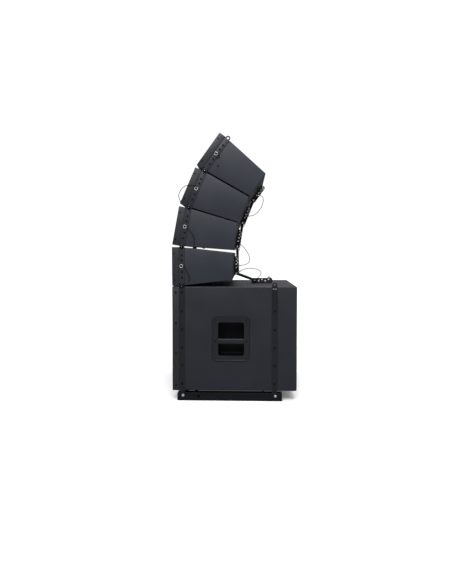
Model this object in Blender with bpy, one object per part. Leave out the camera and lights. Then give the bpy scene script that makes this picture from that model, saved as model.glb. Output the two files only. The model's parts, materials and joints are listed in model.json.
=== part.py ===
"""A ground-stacked line array loudspeaker.

A bass cabinet stands on a steel skid and carries four tapered array cabinets. Steel side straps
join the cabinets at front hinges, and slotted links behind them set the angle of each one.
Metres, +Z up, the grilles face -Y, the origin is on the floor under the middle of the skid.
"""
import math

import bpy
import bmesh

# Driving dimensions
GAP = 0.0003
CABINET_WIDTH = 0.600
SUB_DEPTH = 0.690
SUB_BOTTOM = 0.057
SUB_TOP = 0.6355
MODULE_HEIGHT = 0.214
MODULE_DEPTH = 0.335
MODULE_COUNT = 4
MODULE_TAPER = math.radians(6.25)
TAPER_START = 0.040
HINGE_DEPTH = 0.055
HINGE_OFFSET = 0.002
MODULE_TILTS = [math.radians(degrees) for degrees in (0.0, 10.5, 23.5, 36.0)]

# Side straps and their hinges
STRAP_WIDTH = 0.030
STRAP_THICK = 0.006
LUG_RADIUS = 0.013
PIN_RADIUS = 0.0057
PIN_HOLE_RADIUS = 0.0062
KNOB_RADIUS = 0.008
EAR_OUTER = 0.2935
EAR_INNER = 0.2875
SUB_REAR_STRAP_Y = 0.222
SUB_REAR_LUG_Z = 0.646
TONGUE_BOTTOM = 0.015
TONGUE_PIN_Z = 0.030
TONGUE_PIN_RADIUS = 0.008
TONGUE_PIN_BACK = 0.0045

# Grilles and cabinet walls
SHEET = 0.002
SUB_RETURN = 0.038
MODULE_RETURN = 0.0375
PLY = 0.018

# Rear brackets, links and lock pins
BRACKET_INNER = 0.0105
BRACKET_OUTER = 0.0145
BRACKET_DEPTH = 0.028
BRACKET_LOW = -0.060
BRACKET_HIGH = 0.054
BRACKET_BASE = 0.004
LOCK_HOLE_RADIUS = 0.0041
LOCK_PIN_RADIUS = 0.0035
FIRST_COLUMN = 0.349
SECOND_COLUMN = 0.3575
PIVOT_PLACE = (0.349, -0.052)
LOCK_PLACE = (0.3575, -0.007)
SUB_LOCK_Y = 0.1167
SUB_LOCK_Z = 0.653
SUB_BRACKET_TOP = 0.666
SUB_BRACKET_BACK = 0.226
SUB_BRACKET_FRONT = 0.098
SUB_BRACKET_PLATE_FRONT = 0.142
LINK_EAR_INNER = 0.0060
LINK_EAR_OUTER = 0.0100
LINK_BAR_HALF = 0.0040
LINK_WIDTH = 0.016
LINK_ROOT = 0.058
SLOT_RADIUS = 0.0052
UPPER_LINK_SLOT = (0.1010, 0.1620)
FIRST_LINK_SLOT = (0.1110, 0.1315)

# Skid under the bass cabinet
RAIL_FRONT = -0.317
RAIL_BACK = 0.264
RAIL_HEIGHT = 0.046
RAIL_OUTER = 0.3035
RAIL_INNER = 0.270
RAIL_WALL = 0.003
CROSS_PLACES = (-0.250, 0.190)
CROSS_HALF = 0.030

# Side handles of the bass cabinet
HANDLE_FRONT = -0.123
HANDLE_BACK = 0.082
HANDLE_LOW = 0.222
HANDLE_HIGH = 0.468
HANDLE_MOUTH = (-0.090, 0.053, 0.251, 0.438)
HANDLE_BAR = (0.317, 0.346)
HANDLE_CUP_FLOOR = 0.238
HANDLE_PLATE = 0.0025

# Drivers
SUB_WOOFER_Z = 0.3455
SUB_BAFFLE_FRONT = -0.318
SUB_BAFFLE_BACK = -0.300
SUB_CONE_RADIUS = 0.197
MODULE_WOOFER_X = 0.190
MODULE_BAFFLE_FRONT = 0.032
MODULE_BAFFLE_BACK = 0.047

SUB_FRONT = -SUB_DEPTH / 2
SIDE = CABINET_WIDTH / 2
STRAP_INNER = SIDE - STRAP_THICK
FRONT_STRAP_Y = SUB_FRONT + HINGE_DEPTH
HINGE_REACH = MODULE_HEIGHT / 2 + HINGE_OFFSET
PITCH = 2 * HINGE_REACH


# ---------------------------------------------------------------- materials

def paint(name, colour, roughness, metallic=0.0):
    """Returns a Principled material with one even finish."""
    material = bpy.data.materials.new(name)
    material.use_nodes = True
    shader = material.node_tree.nodes["Principled BSDF"]
    shader.inputs["Base Color"].default_value = (*colour, 1.0)
    shader.inputs["Roughness"].default_value = roughness
    shader.inputs["Metallic"].default_value = metallic
    return material


# ---------------------------------------------------------------- solid shapes

def mesh_object(name, bm):
    """Turns a bmesh into an object of the scene, with its faces pointing out."""
    bmesh.ops.recalc_face_normals(bm, faces=bm.faces)
    mesh = bpy.data.meshes.new(name)
    bm.to_mesh(mesh)
    bm.free()
    shape = bpy.data.objects.new(name, mesh)
    bpy.context.scene.collection.objects.link(shape)
    return shape


def block(low, high):
    """A box between two corners."""
    bm = bmesh.new()
    bmesh.ops.create_cube(bm, size=1.0)
    for vertex in bm.verts:
        for axis in range(3):
            vertex.co[axis] = high[axis] if vertex.co[axis] > 0 else low[axis]
    return mesh_object("block", bm)


def prism(outline, low_x, high_x):
    """A plate with an outline in the YZ plane, from low_x to high_x."""
    bm = bmesh.new()
    face = bm.faces.new([bm.verts.new((low_x, y, z)) for y, z in outline])
    pushed = bmesh.ops.extrude_face_region(bm, geom=[face])
    for item in pushed["geom"]:
        if isinstance(item, bmesh.types.BMVert):
            item.co.x = high_x
    return mesh_object("prism", bm)


def arc(centre, radius, start, end, steps):
    """Points in the YZ plane along an arc, angles in degrees from +Y towards +Z."""
    points = []
    for step in range(steps + 1):
        angle = math.radians(start + (end - start) * step / steps)
        points.append((centre[0] + radius * math.cos(angle), centre[1] + radius * math.sin(angle)))
    return points


def rod(centre, radius, low_x, high_x, sides=16):
    """A round bar along X, centred on a point in the YZ plane."""
    shape = prism(arc(centre, radius, 0, 360 - 360 / sides, sides - 1), low_x, high_x)
    shape.data.shade_smooth()
    shape.data.set_sharp_from_angle(angle=math.radians(50))
    return shape


def spindle(centre, profile, side=1, sides=16):
    """A stepped round bar along X; profile holds (distance from the middle, radius) points."""
    bm = bmesh.new()
    rings = []
    for distance, radius in profile:
        outline = arc(centre, radius, 0, 360 - 360 / sides, sides - 1)
        rings.append([bm.verts.new((side * distance, y, z)) for y, z in outline])
    for first, second in zip(rings, rings[1:]):
        for index in range(sides):
            after = (index + 1) % sides
            bm.faces.new((first[index], first[after], second[after], second[index]))
    bm.faces.new(rings[0])
    bm.faces.new(rings[-1])
    shape = mesh_object("spindle", bm)
    shape.data.shade_smooth()
    shape.data.set_sharp_from_angle(angle=math.radians(50))
    return shape


def turned(profile, place, sides):
    """A body turned about the Y direction through place; profile holds (radius, y) points.

    A profile that ends on its first point is a wall all round; two points on the axis are two poles.
    """
    bm = bmesh.new()
    rings = []
    for radius, y in profile:
        if rings and (radius, y) == profile[0]:
            rings.append(rings[0])
            continue
        if radius == 0:
            rings.append([bm.verts.new((place[0], place[1] + y, place[2]))])
            continue
        ring = []
        for side in range(sides):
            angle = 2 * math.pi * side / sides
            x = place[0] + radius * math.cos(angle)
            z = place[2] + radius * math.sin(angle)
            ring.append(bm.verts.new((x, place[1] + y, z)))
        rings.append(ring)
    for first, second in zip(rings, rings[1:]):
        for side in range(sides):
            after = (side + 1) % sides
            if len(first) == len(second) == 1:
                continue
            if len(first) == 1:
                bm.faces.new((first[0], second[side], second[after]))
            elif len(second) == 1:
                bm.faces.new((first[side], second[0], first[after]))
            else:
                bm.faces.new((first[side], second[side], second[after], first[after]))
    shape = mesh_object("turned", bm)
    shape.data.shade_smooth()
    shape.data.set_sharp_from_angle(angle=math.radians(40))
    return shape


def node(name, shape, material, parent=None, add=(), cut=()):
    """Names a finished sub-part, joins shapes to it, cuts shapes from it, and hangs it on its parent."""
    shape.name = name
    shape.data.name = name
    shape.data.materials.clear()
    shape.data.materials.append(material)
    shape.parent = parent
    for operation, operands in (("UNION", add), ("DIFFERENCE", cut)):
        for count, operand in enumerate(operands):
            operand.name = f"{name}_{operation.lower()}_{count}"
            operand.parent = parent
            operand.hide_render = True
            operand.display_type = "WIRE"
            modifier = shape.modifiers.new(f"{operation.title()} {count}", "BOOLEAN")
            modifier.operation = operation
            modifier.solver = "EXACT"
            modifier.object = operand
    return shape


def axis_empty(name, y, z, tilt=0.0, parent=None):
    """An empty on a joint's axis, tilted back by an angle about X."""
    empty = bpy.data.objects.new(name, None)
    bpy.context.scene.collection.objects.link(empty)
    empty.location = (0, y, z)
    empty.rotation_euler = (-tilt, 0, 0)
    empty.parent = parent
    return empty


def sided(side, low_x, high_x):
    """Orders two distances from the middle for the right side (1) or the left side (-1)."""
    return (low_x, high_x) if side > 0 else (-high_x, -low_x)


def side_block(side, low_x, high_x, low_y, high_y, low_z, high_z):
    """A box on one side of the middle plane."""
    first, second = sided(side, low_x, high_x)
    return block((first, low_y, low_z), (second, high_y, high_z))


# ---------------------------------------------------------------- places on a module

def local(depth, height):
    """A place on a module, seen from its lower hinge, in the module's own YZ plane."""
    return (depth - HINGE_DEPTH, height + HINGE_REACH)


def turned_back(place, tilt):
    """Turns a YZ offset back by a tilt."""
    y, z = place
    return (y * math.cos(tilt) + z * math.sin(tilt), z * math.cos(tilt) - y * math.sin(tilt))


def hinge_places():
    """The lower hinge of every module, and the free top lug of the last, in the world's YZ plane."""
    places = [(FRONT_STRAP_Y, SUB_TOP + HINGE_OFFSET)]
    for tilt in MODULE_TILTS:
        y, z = turned_back((0, PITCH), tilt)
        places.append((places[-1][0] + y, places[-1][1] + z))
    return places


def on_module(number, depth, height):
    """A place on module 1 to 4 in the world's YZ plane."""
    base = hinge_places()[number - 1]
    y, z = turned_back(local(depth, height), MODULE_TILTS[number - 1])
    return (base[0] + y, base[1] + z)


# ---------------------------------------------------------------- skid

def make_skid(steel):
    """Two folded side rails, two cross members under the cabinet, and the four strap pins."""
    pieces = []
    cuts = []
    for side in (1, -1):
        pieces.append(side_block(side, RAIL_INNER, RAIL_OUTER, RAIL_FRONT, RAIL_BACK, 0, RAIL_HEIGHT))
        cuts.append(side_block(side, RAIL_INNER + RAIL_WALL, RAIL_OUTER - RAIL_WALL,
                               RAIL_FRONT - RAIL_WALL, RAIL_BACK + RAIL_WALL,
                               RAIL_WALL, RAIL_HEIGHT + RAIL_WALL))
        cuts.append(rod((-0.199, 0.025), 0.008, *sided(side, RAIL_OUTER - 2 * RAIL_WALL, SIDE + 0.010)))
    inside = RAIL_INNER + RAIL_WALL / 2
    for place in CROSS_PLACES:
        pieces.append(block((-inside, place - CROSS_HALF, 0.0), (inside, place + CROSS_HALF, SUB_BOTTOM - GAP)))
        cuts.append(block((-RAIL_INNER + RAIL_WALL, place - CROSS_HALF + RAIL_WALL, -RAIL_WALL),
                          (RAIL_INNER - RAIL_WALL, place + CROSS_HALF - RAIL_WALL, SUB_BOTTOM - GAP - RAIL_WALL)))
    skid = node("base_frame", pieces[0], steel, add=pieces[1:], cut=cuts)
    for side in (1, -1):
        for place in (FRONT_STRAP_Y, SUB_REAR_STRAP_Y):
            pin = rod((place + TONGUE_PIN_BACK, TONGUE_PIN_Z), TONGUE_PIN_RADIUS,
                      *sided(side, RAIL_INNER + RAIL_WALL / 2, RAIL_OUTER + 0.0035), 12)
            pin.name = f"skid_pin_{side}_{place:.3f}"
            pin.hide_render = True
            pin.display_type = "WIRE"
            union = skid.modifiers.new("Strap pin", "BOOLEAN")
            union.operation = "UNION"
            union.solver = "EXACT"
            union.object = pin
    return skid


# ---------------------------------------------------------------- bass cabinet

def make_sub_cabinet(wood):
    """The plywood box: walls, a front baffle with the woofer's hole, and every cut-out for the fittings."""
    back = SUB_DEPTH / 2
    cuts = [block((-SIDE + PLY, SUB_FRONT - 0.010, SUB_BOTTOM + PLY), (SIDE - PLY, SUB_BAFFLE_FRONT, SUB_TOP - PLY)),
            block((-SIDE + PLY, SUB_BAFFLE_BACK, SUB_BOTTOM + PLY), (SIDE - PLY, back - 0.020, SUB_TOP - PLY)),
            turned([(0, -0.010), (0.208, -0.010), (0.208, 0.030), (0, 0.030)],
                   (0, SUB_BAFFLE_FRONT, SUB_WOOFER_Z), 24),
            block((-0.080, back - 0.0045, 0.250), (0.080, back + 0.010, 0.470))]
    for side in (1, -1):
        cuts.append(side_block(side, SIDE - SHEET - GAP, SIDE + 0.010, SUB_FRONT - 0.010,
                               SUB_FRONT + SUB_RETURN + GAP, SUB_BOTTOM - 0.010, SUB_TOP + 0.010))
        for place in (FRONT_STRAP_Y, SUB_REAR_STRAP_Y):
            half = STRAP_WIDTH / 2 + GAP
            cuts.append(side_block(side, STRAP_INNER - GAP, SIDE + 0.010, place - half, place + half,
                                   SUB_BOTTOM - 0.010, SUB_TOP + 0.010))
        cuts.append(side_block(side, EAR_INNER - 0.0015, SIDE + 0.010, FRONT_STRAP_Y - 0.016,
                               FRONT_STRAP_Y + 0.016, SUB_TOP - 0.014, SUB_TOP + 0.010))
        front, rear, low, high = HANDLE_MOUTH
        cuts.append(side_block(side, SIDE - 2 * PLY, SIDE + 0.010, front - 0.005, rear + 0.005, low - 0.005, high + 0.005))
    body = block((-SIDE, SUB_FRONT + SHEET + GAP, SUB_BOTTOM), (SIDE, back, SUB_TOP))
    return node("sub_cabinet", body, wood, cut=cuts)


def make_grille(name, height, return_depth, low, parent, steel):
    """A folded steel tray: a front sheet with a return down each side. Its front face is at local Y = 0."""
    outside = block((-SIDE, 0, low), (SIDE, return_depth, low + height))
    inside = block((-SIDE + SHEET, SHEET, low - 0.010), (SIDE - SHEET, return_depth + 0.010, low + height + 0.010))
    return node(name, outside, steel, parent=parent, cut=[inside])


def make_handle(side, plastic):
    """A recessed handle: a plate on the side, a cup behind it and a bar across the middle of its mouth."""
    front, rear, low, high = HANDLE_MOUTH
    wall = 0.004
    plate_out = SIDE + GAP + HANDLE_PLATE
    plate = side_block(side, SIDE + GAP, plate_out, HANDLE_FRONT, HANDLE_BACK, HANDLE_LOW, HANDLE_HIGH)
    cup = side_block(side, HANDLE_CUP_FLOOR - wall, SIDE + GAP + HANDLE_PLATE / 2,
                     front - wall, rear + wall, low - wall, high + wall)
    pocket = [side_block(side, HANDLE_CUP_FLOOR, SIDE + 0.010, front, rear, HANDLE_BAR[1], high),
              side_block(side, HANDLE_CUP_FLOOR, SIDE + 0.010, front, rear, low, HANDLE_BAR[0]),
              side_block(side, HANDLE_CUP_FLOOR, SIDE - 0.022, front, rear,
                         HANDLE_BAR[0] - 0.002, HANDLE_BAR[1] + 0.002)]
    name = "sub_handle_right" if side > 0 else "sub_handle_left"
    return node(name, plate, plastic, add=[cup], cut=pocket)


def make_sub_woofer(steel, paper):
    """The bass driver's basket with its magnet, and the cone that moves in it."""
    place = (0, SUB_BAFFLE_FRONT - GAP, SUB_WOOFER_Z)
    basket = [(0.203, -0.008), (0.228, -0.008), (0.228, 0.0), (0.2035, 0.0), (0.2035, 0.020), (0.110, 0.132),
              (0.110, 0.180), (0, 0.180), (0, 0.128), (0.100, 0.125), (0.199, 0.020), (0.203, -0.008)]
    node("sub_woofer_frame", turned(basket, place, 24), steel)
    cone = [(0, 0.055), (0.058, 0.074), (0.188, -0.003), (SUB_CONE_RADIUS, -0.003), (SUB_CONE_RADIUS, 0.001),
            (0.060, 0.086), (0.060, 0.100), (0, 0.100)]
    node("sub_cone", turned(cone, place, 24), paper, parent=axis_empty("sub_cone_travel", 0, 0))


def strap_outline(low, high, centre, lug_height):
    """A flat bar whose top narrows into a round lug; the bottom is square."""
    half = STRAP_WIDTH / 2
    points = [(centre - half, low), (centre + half, low), (centre + half, high)]
    points += arc((centre, lug_height), LUG_RADIUS, 0, 180, 10)
    points.append((centre - half, high))
    return points


def make_sub_straps(steel):
    """Four flat bars in the sides of the bass cabinet. Their lower ends drop into the skid's rails."""
    for side in (1, -1):
        word = "right" if side > 0 else "left"
        for place, lug, title in ((FRONT_STRAP_Y, SUB_TOP + HINGE_OFFSET, "front"),
                                  (SUB_REAR_STRAP_Y, SUB_REAR_LUG_Z, "rear")):
            span = sided(side, STRAP_INNER, SIDE)
            bar = prism(strap_outline(TONGUE_BOTTOM, lug - LUG_RADIUS, place, lug), *span)
            wide = sided(side, STRAP_INNER - 0.010, SIDE + 0.010)
            holes = [rod((place + TONGUE_PIN_BACK, TONGUE_PIN_Z), TONGUE_PIN_RADIUS + 2 * GAP, *wide),
                     rod((place, lug), PIN_HOLE_RADIUS, *wide)]
            node(f"sub_strap_{title}_{word}", bar, steel, cut=holes)


def make_sub_rear_bracket(steel):
    """Two upright plates on a base plate, on top of the bass cabinet, that take the lowest link."""
    bottom = SUB_TOP + GAP
    plates = []
    for side in (1, -1):
        low_x, high_x = sided(side, BRACKET_INNER, BRACKET_OUTER)
        outline = [(SUB_BRACKET_FRONT, bottom), (SUB_BRACKET_BACK, bottom), (SUB_BRACKET_BACK, SUB_BRACKET_TOP - 0.006),
                   (SUB_BRACKET_BACK - 0.006, SUB_BRACKET_TOP), (SUB_BRACKET_FRONT + 0.008, SUB_BRACKET_TOP),
                   (SUB_BRACKET_FRONT, SUB_BRACKET_TOP - 0.008)]
        plates.append(prism(outline, low_x, high_x))
    base = block((-BRACKET_OUTER, SUB_BRACKET_PLATE_FRONT, bottom),
                 (BRACKET_OUTER, SUB_BRACKET_BACK, bottom + BRACKET_BASE))
    holes = [rod((SUB_LOCK_Y, SUB_LOCK_Z), LOCK_HOLE_RADIUS, -0.030, 0.030, 8)]
    for place in range(4):
        holes.append(rod((0.142 + 0.020 * place, 0.648 + 0.008 * (place % 2)), LOCK_PIN_RADIUS, -0.030, 0.030, 8))
    node("sub_rear_bracket", base, steel, add=plates, cut=holes)


def make_connector_plate(steel):
    """The plate with the cable sockets, let into the back of the bass cabinet."""
    back = SUB_DEPTH / 2
    plate = block((-0.0795, back - 0.0042, 0.2505), (0.0795, back - 0.0012, 0.4695))
    sockets = []
    for place in (-1, 0, 1):
        sockets.append(turned([(0, -0.004), (0.012, -0.004), (0.012, 0.0015), (0, 0.0015)],
                              (0, back - 0.0012, 0.360 + 0.060 * place), 16))
    node("sub_connector_plate", plate, steel, cut=sockets)


# ---------------------------------------------------------------- array cabinets

def module_outline(inset=0.0, front=0.0):
    """The side outline of an array cabinet: square at the front, tapered towards the back."""
    half = MODULE_HEIGHT / 2 - inset
    fall = (MODULE_DEPTH - TAPER_START) * math.tan(MODULE_TAPER)
    corners = [(front, -half), (TAPER_START, -half), (MODULE_DEPTH, fall - half),
               (MODULE_DEPTH, half - fall), (TAPER_START, half), (front, half)]
    return [local(*corner) for corner in corners]


def make_array_cabinet(number, parent, wood):
    """A tapered plywood box with two woofer holes, a waveguide slot and grooves for the straps."""
    half = MODULE_HEIGHT / 2
    wall = 0.012
    inner_half = half - wall
    fall = (MODULE_DEPTH - TAPER_START) * math.tan(MODULE_TAPER)
    cavity = [(MODULE_BAFFLE_BACK, -inner_half), (MODULE_DEPTH - wall, fall - inner_half),
              (MODULE_DEPTH - wall, inner_half - fall), (MODULE_BAFFLE_BACK, inner_half)]
    cuts = [prism([local(*corner) for corner in cavity], -SIDE + PLY, SIDE - PLY)]
    low = local(-0.010, -inner_half)
    high = local(MODULE_BAFFLE_FRONT, inner_half)
    cuts.append(block((-SIDE + PLY, low[0], low[1]), (SIDE - PLY, high[0], high[1])))
    baffle = local(MODULE_BAFFLE_FRONT, 0)
    for side in (1, -1):
        cuts.append(turned([(0, -0.010), (0.074, -0.010), (0.074, 0.025), (0, 0.025)],
                           (side * MODULE_WOOFER_X, *baffle), 16))
        low, high = local(-0.010, -half - 0.020), local(MODULE_RETURN + GAP, half + 0.020)
        cuts.append(side_block(side, SIDE - SHEET - GAP, SIDE + 0.010, low[0], high[0], low[1], high[1]))
        reach = STRAP_WIDTH / 2 + GAP
        cuts.append(side_block(side, STRAP_INNER - GAP, SIDE + 0.010, -reach, reach, low[1], high[1]))
        notch_top = local(0, half - 0.014)[1]
        cuts.append(side_block(side, EAR_INNER - 0.0015, SIDE + 0.010, -0.016, 0.016, notch_top, high[1]))
        ear_top = local(0, -0.057)[1]
        cuts.append(side_block(side, EAR_INNER - 0.0007, STRAP_INNER + 0.002, -0.0145, 0.0145, low[1], ear_top))
        foot_top = local(0, -half + 0.014)[1]
        cuts.append(side_block(side, EAR_INNER - 0.0015, SIDE + 0.010, -0.016, 0.016, low[1], foot_top))
    slot_low, slot_high = local(MODULE_BAFFLE_FRONT - 0.010, -0.085), local(MODULE_BAFFLE_BACK + 0.010, 0.085)
    cuts.append(block((-0.062, slot_low[0], slot_low[1]), (0.062, slot_high[0], slot_high[1])))
    body = prism(module_outline(front=SHEET + GAP), -SIDE, SIDE)
    node(f"array_cabinet_{number}", body, wood, parent=parent, cut=cuts)


def make_array_woofer(number, side, parent, steel):
    """A mid-bass driver seen as one closed body: flange, cone face, basket and magnet."""
    place = (side * MODULE_WOOFER_X, *local(MODULE_BAFFLE_FRONT - GAP, 0))
    profile = [(0, 0.018), (0.022, 0.022), (0.064, -0.001), (0.070, -0.0035), (0.084, -0.0035), (0.084, 0),
               (0.0710, 0), (0.0710, 0.015), (0.044, 0.052), (0.044, 0.078), (0, 0.078)]
    word = "right" if side > 0 else "left"
    node(f"woofer_{word}_{number}", turned(profile, place, 16), steel, parent=parent)


def make_waveguide(number, parent, plastic):
    """The treble horn between the two woofers: a flange with a flared slot and a driver behind."""
    flange_back = local(MODULE_BAFFLE_FRONT - GAP, 0)
    depth = 0.010
    flange = block((-0.078, flange_back[0] - depth, flange_back[1] - 0.090),
                   (0.078, flange_back[0], flange_back[1] + 0.090))
    throat = block((-0.061, flange_back[0] - 0.001, flange_back[1] - 0.084),
                   (0.061, flange_back[0] + 0.075, flange_back[1] + 0.084))
    flare = bmesh.new()
    corners = []
    for x, y, z in ((0.066, -depth - 0.001, 0.082), (0.012, 0.045, 0.072)):
        ring = [(-x, -z), (x, -z), (x, z), (-x, z)]
        corners.append([flare.verts.new((a, flange_back[0] + y, flange_back[1] + b)) for a, b in ring])
    flare.faces.new(corners[0])
    flare.faces.new(corners[1])
    for index in range(4):
        after = (index + 1) % 4
        flare.faces.new((corners[0][index], corners[0][after], corners[1][after], corners[1][index]))
    node(f"waveguide_{number}", flange, plastic, parent=parent, add=[throat], cut=[mesh_object("flare", flare)])


def make_module_strap(number, side, parent, steel):
    """A side strap: a flat bar with the upper lug, and an ear behind it that carries the hinge pin."""
    word = "right" if side > 0 else "left"
    top = (0, 2 * HINGE_REACH)
    bar_low = 0.015
    outline = strap_outline(bar_low, top[1] - LUG_RADIUS, 0, top[1])
    bar = prism(outline, *sided(side, STRAP_INNER, SIDE))
    ear_outline = arc((0, 0), LUG_RADIUS, 180, 360, 10) + [(LUG_RADIUS, 0.050), (-LUG_RADIUS, 0.050)]
    ear = prism(ear_outline, *sided(side, EAR_INNER, EAR_OUTER))
    weld = side_block(side, EAR_OUTER - 0.001, STRAP_INNER + 0.001, -0.012, 0.012, bar_low + 0.003, 0.047)
    pin = spindle((0, 0), [(EAR_INNER + 0.002, PIN_RADIUS), (SIDE + GAP, PIN_RADIUS),
                           (SIDE + GAP, KNOB_RADIUS), (SIDE + 0.006, KNOB_RADIUS)], side)
    hole = rod(top, PIN_HOLE_RADIUS, *sided(side, STRAP_INNER - 0.010, SIDE + 0.010))
    node(f"strap_{word}_{number}", bar, steel, parent=parent, add=[ear, weld, pin], cut=[hole])


def make_rear_bracket(number, parent, steel):
    """The folded channel on the back of an array cabinet, with its rows of angle holes."""
    back = MODULE_DEPTH + GAP
    low, high = local(back, BRACKET_LOW), local(back + BRACKET_BASE, BRACKET_HIGH)
    base = block((-BRACKET_OUTER, low[0], low[1]), (BRACKET_OUTER, high[0], high[1]))
    plates = []
    corner = 0.008
    tip = MODULE_DEPTH + BRACKET_DEPTH
    for side in (1, -1):
        outline = [(back, BRACKET_LOW), (tip - corner, BRACKET_LOW), (tip, BRACKET_LOW + corner),
                   (tip, BRACKET_HIGH - corner), (tip - corner, BRACKET_HIGH), (back, BRACKET_HIGH)]
        plates.append(prism([local(*point) for point in outline], *sided(side, BRACKET_INNER, BRACKET_OUTER)))
    stubs = []
    for side in (1, -1):
        pivot = local(*PIVOT_PLACE)
        stubs.append(spindle(pivot, [(LINK_EAR_INNER, LOCK_PIN_RADIUS), (BRACKET_OUTER - 0.001, LOCK_PIN_RADIUS),
                                     (BRACKET_OUTER - 0.001, 0.006), (BRACKET_OUTER + 0.004, 0.006)], side, 8))
    holes = [rod(local(*LOCK_PLACE), LOCK_HOLE_RADIUS, -0.030, 0.030, 8)]
    for height in (0.045, 0.025, 0.004, -0.016):
        holes.append(rod(local(FIRST_COLUMN, height), LOCK_PIN_RADIUS, -0.030, 0.030, 8))
    for height in (0.035, 0.014):
        holes.append(rod(local(SECOND_COLUMN, height), LOCK_PIN_RADIUS, -0.030, 0.030, 8))
    node(f"rear_bracket_{number}", base, steel, parent=parent, add=plates + stubs, cut=holes)


# ---------------------------------------------------------------- links and lock pins

def make_link(number, pivot, pin, slot, steel):
    """A link: a fork on the module's pivot, and a slotted bar that the lock pin holds."""
    direction = math.atan2(pin[1] - pivot[1], pin[0] - pivot[0])
    swing = axis_empty(f"link_{number}_pivot", *pivot, tilt=-direction)
    eye = 0.008
    half = LINK_WIDTH / 2
    ears = []
    for side in (1, -1):
        outline = arc((0, 0), eye, 90, 270, 8) + [(LINK_ROOT + 0.014, -half), (LINK_ROOT + 0.014, half)]
        ears.append(prism(outline, *sided(side, LINK_EAR_INNER, LINK_EAR_OUTER)))
    root = block((-LINK_EAR_OUTER, LINK_ROOT, -half), (LINK_EAR_OUTER, LINK_ROOT + 0.014, half))
    end = slot[1] + 0.002
    bar_outline = [(LINK_ROOT + 0.002, -half)] + arc((end, 0), half, -90, 90, 8) + [(LINK_ROOT + 0.002, half)]
    bar = prism(bar_outline, -LINK_BAR_HALF, LINK_BAR_HALF)
    slot_outline = arc((slot[0], 0), SLOT_RADIUS, 90, 270, 6) + arc((slot[1], 0), SLOT_RADIUS, -90, 90, 6)
    cuts = [prism(slot_outline, -0.020, 0.020), rod((0, 0), LOCK_HOLE_RADIUS, -0.020, 0.020, 8)]
    node(f"link_{number}", root, steel, parent=swing, add=ears + [bar], cut=cuts)


def make_lock_pin(number, place, rubber):
    """A quick-release pin: a thin shaft through bracket and link, with a knob on the right."""
    knob_start = BRACKET_OUTER + GAP
    pin = spindle(place, [(-0.019, LOCK_PIN_RADIUS), (knob_start, LOCK_PIN_RADIUS),
                          (knob_start, 0.0072), (0.034, 0.0072)])
    node(f"lock_pin_{number}", pin, rubber)


# ---------------------------------------------------------------- lanyards

def smooth_route(points, spacing):
    """Reads points a fixed distance apart from one smooth curve through the route's own points."""
    padded = [points[0]] + list(points) + [points[-1]]
    dense = []
    for index in range(len(points) - 1):
        p0, p1, p2, p3 = padded[index:index + 4]
        for step in range(24):
            t = step / 24
            dense.append([0.5 * (2 * b + (c - a) * t + (2 * a - 5 * b + 4 * c - d) * t * t
                                 + (3 * b - a - 3 * c + d) * t ** 3) for a, b, c, d in zip(p0, p1, p2, p3)])
    dense.append(list(points[-1]))
    total = sum(math.dist(a, b) for a, b in zip(dense, dense[1:]))
    count = max(3, round(total / spacing))
    route = [dense[0]]
    travelled = 0.0
    for a, b in zip(dense, dense[1:]):
        travelled += math.dist(a, b)
        if travelled >= total * len(route) / count and len(route) < count:
            route.append(b)
    route.append(dense[-1])
    return route


def make_lanyard(name, points, parent, steel):
    """A thin covered wire, as a round tube along its route."""
    route = smooth_route(points, 2.4 * LANYARD_DIAMETER)
    curve = bpy.data.curves.new(name, "CURVE")
    curve.dimensions = "3D"
    curve.bevel_depth = LANYARD_DIAMETER / 2
    curve.bevel_resolution = 2
    curve.use_fill_caps = True
    spline = curve.splines.new("POLY")
    spline.points.add(len(route) - 1)
    for point, place in zip(spline.points, route):
        point.co = (*place, 1.0)
    wire = bpy.data.objects.new(name, curve)
    bpy.context.scene.collection.objects.link(wire)
    wire.data.materials.append(steel)
    wire.parent = parent
    return wire


LANYARD_DIAMETER = 0.0035
REAR_LANYARDS = {
    1: [(0.022, 0.024, 0.7060), (0.024, 0.040, 0.7160), (0.026, 0.060, 0.7240), (0.027, 0.087, 0.7269),
        (0.027, 0.113, 0.7250), (0.027, 0.135, 0.7194), (0.027, 0.151, 0.7093), (0.027, 0.156, 0.6987),
        (0.027, 0.152, 0.6855), (0.0265, 0.142, 0.6740), (0.026, 0.130, 0.6650)],
    2: [(0.022, 0.0276, 0.8734), (0.024, 0.0432, 0.8609), (0.026, 0.0608, 0.8415), (0.027, 0.0758, 0.8171),
        (0.027, 0.0846, 0.7951), (0.027, 0.0858, 0.7820), (0.027, 0.0802, 0.7645), (0.0265, 0.0670, 0.7532),
        (0.026, 0.0520, 0.7475), (0.026, 0.0363, 0.7457), (0.026, 0.0228, 0.7428)],
    4: [(0.018, 0.1478, 1.1712), (0.021, 0.1597, 1.1666), (0.024, 0.1672, 1.1534), (0.026, 0.1675, 1.1334),
        (0.027, 0.1597, 1.1071), (0.027, 0.1441, 1.0808), (0.0265, 0.1221, 1.0588), (0.026, 0.1002, 1.0482),
        (0.026, 0.0788, 1.0452)],
}
SIDE_LANYARD_X = 0.3050
SIDE_LANYARDS = {
    1: [(0.067, 0.0085), (0.080, -0.022), (0.0936, -0.0487), (0.0975, -0.083)],
    2: [(0.0655, 0.0015), (0.073, -0.0056), (0.087, -0.0171), (0.113, -0.0462), (0.1208, -0.083)],
    3: [(0.051, 0.0160), (0.035, 0.0165), (0.0145, 0.0080), (-0.003, -0.0034), (-0.0165, -0.0201),
        (-0.0222, -0.0401), (-0.0232, -0.0576), (-0.0208, -0.0729), (-0.0100, -0.0859), (0.0020, -0.0987)],
    4: [(0.0640, 0.0060), (0.072, 0.0075), (0.079, 0.0010), (0.078, -0.0080), (0.0705, -0.0120), (0.0635, -0.0070)],
}


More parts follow.
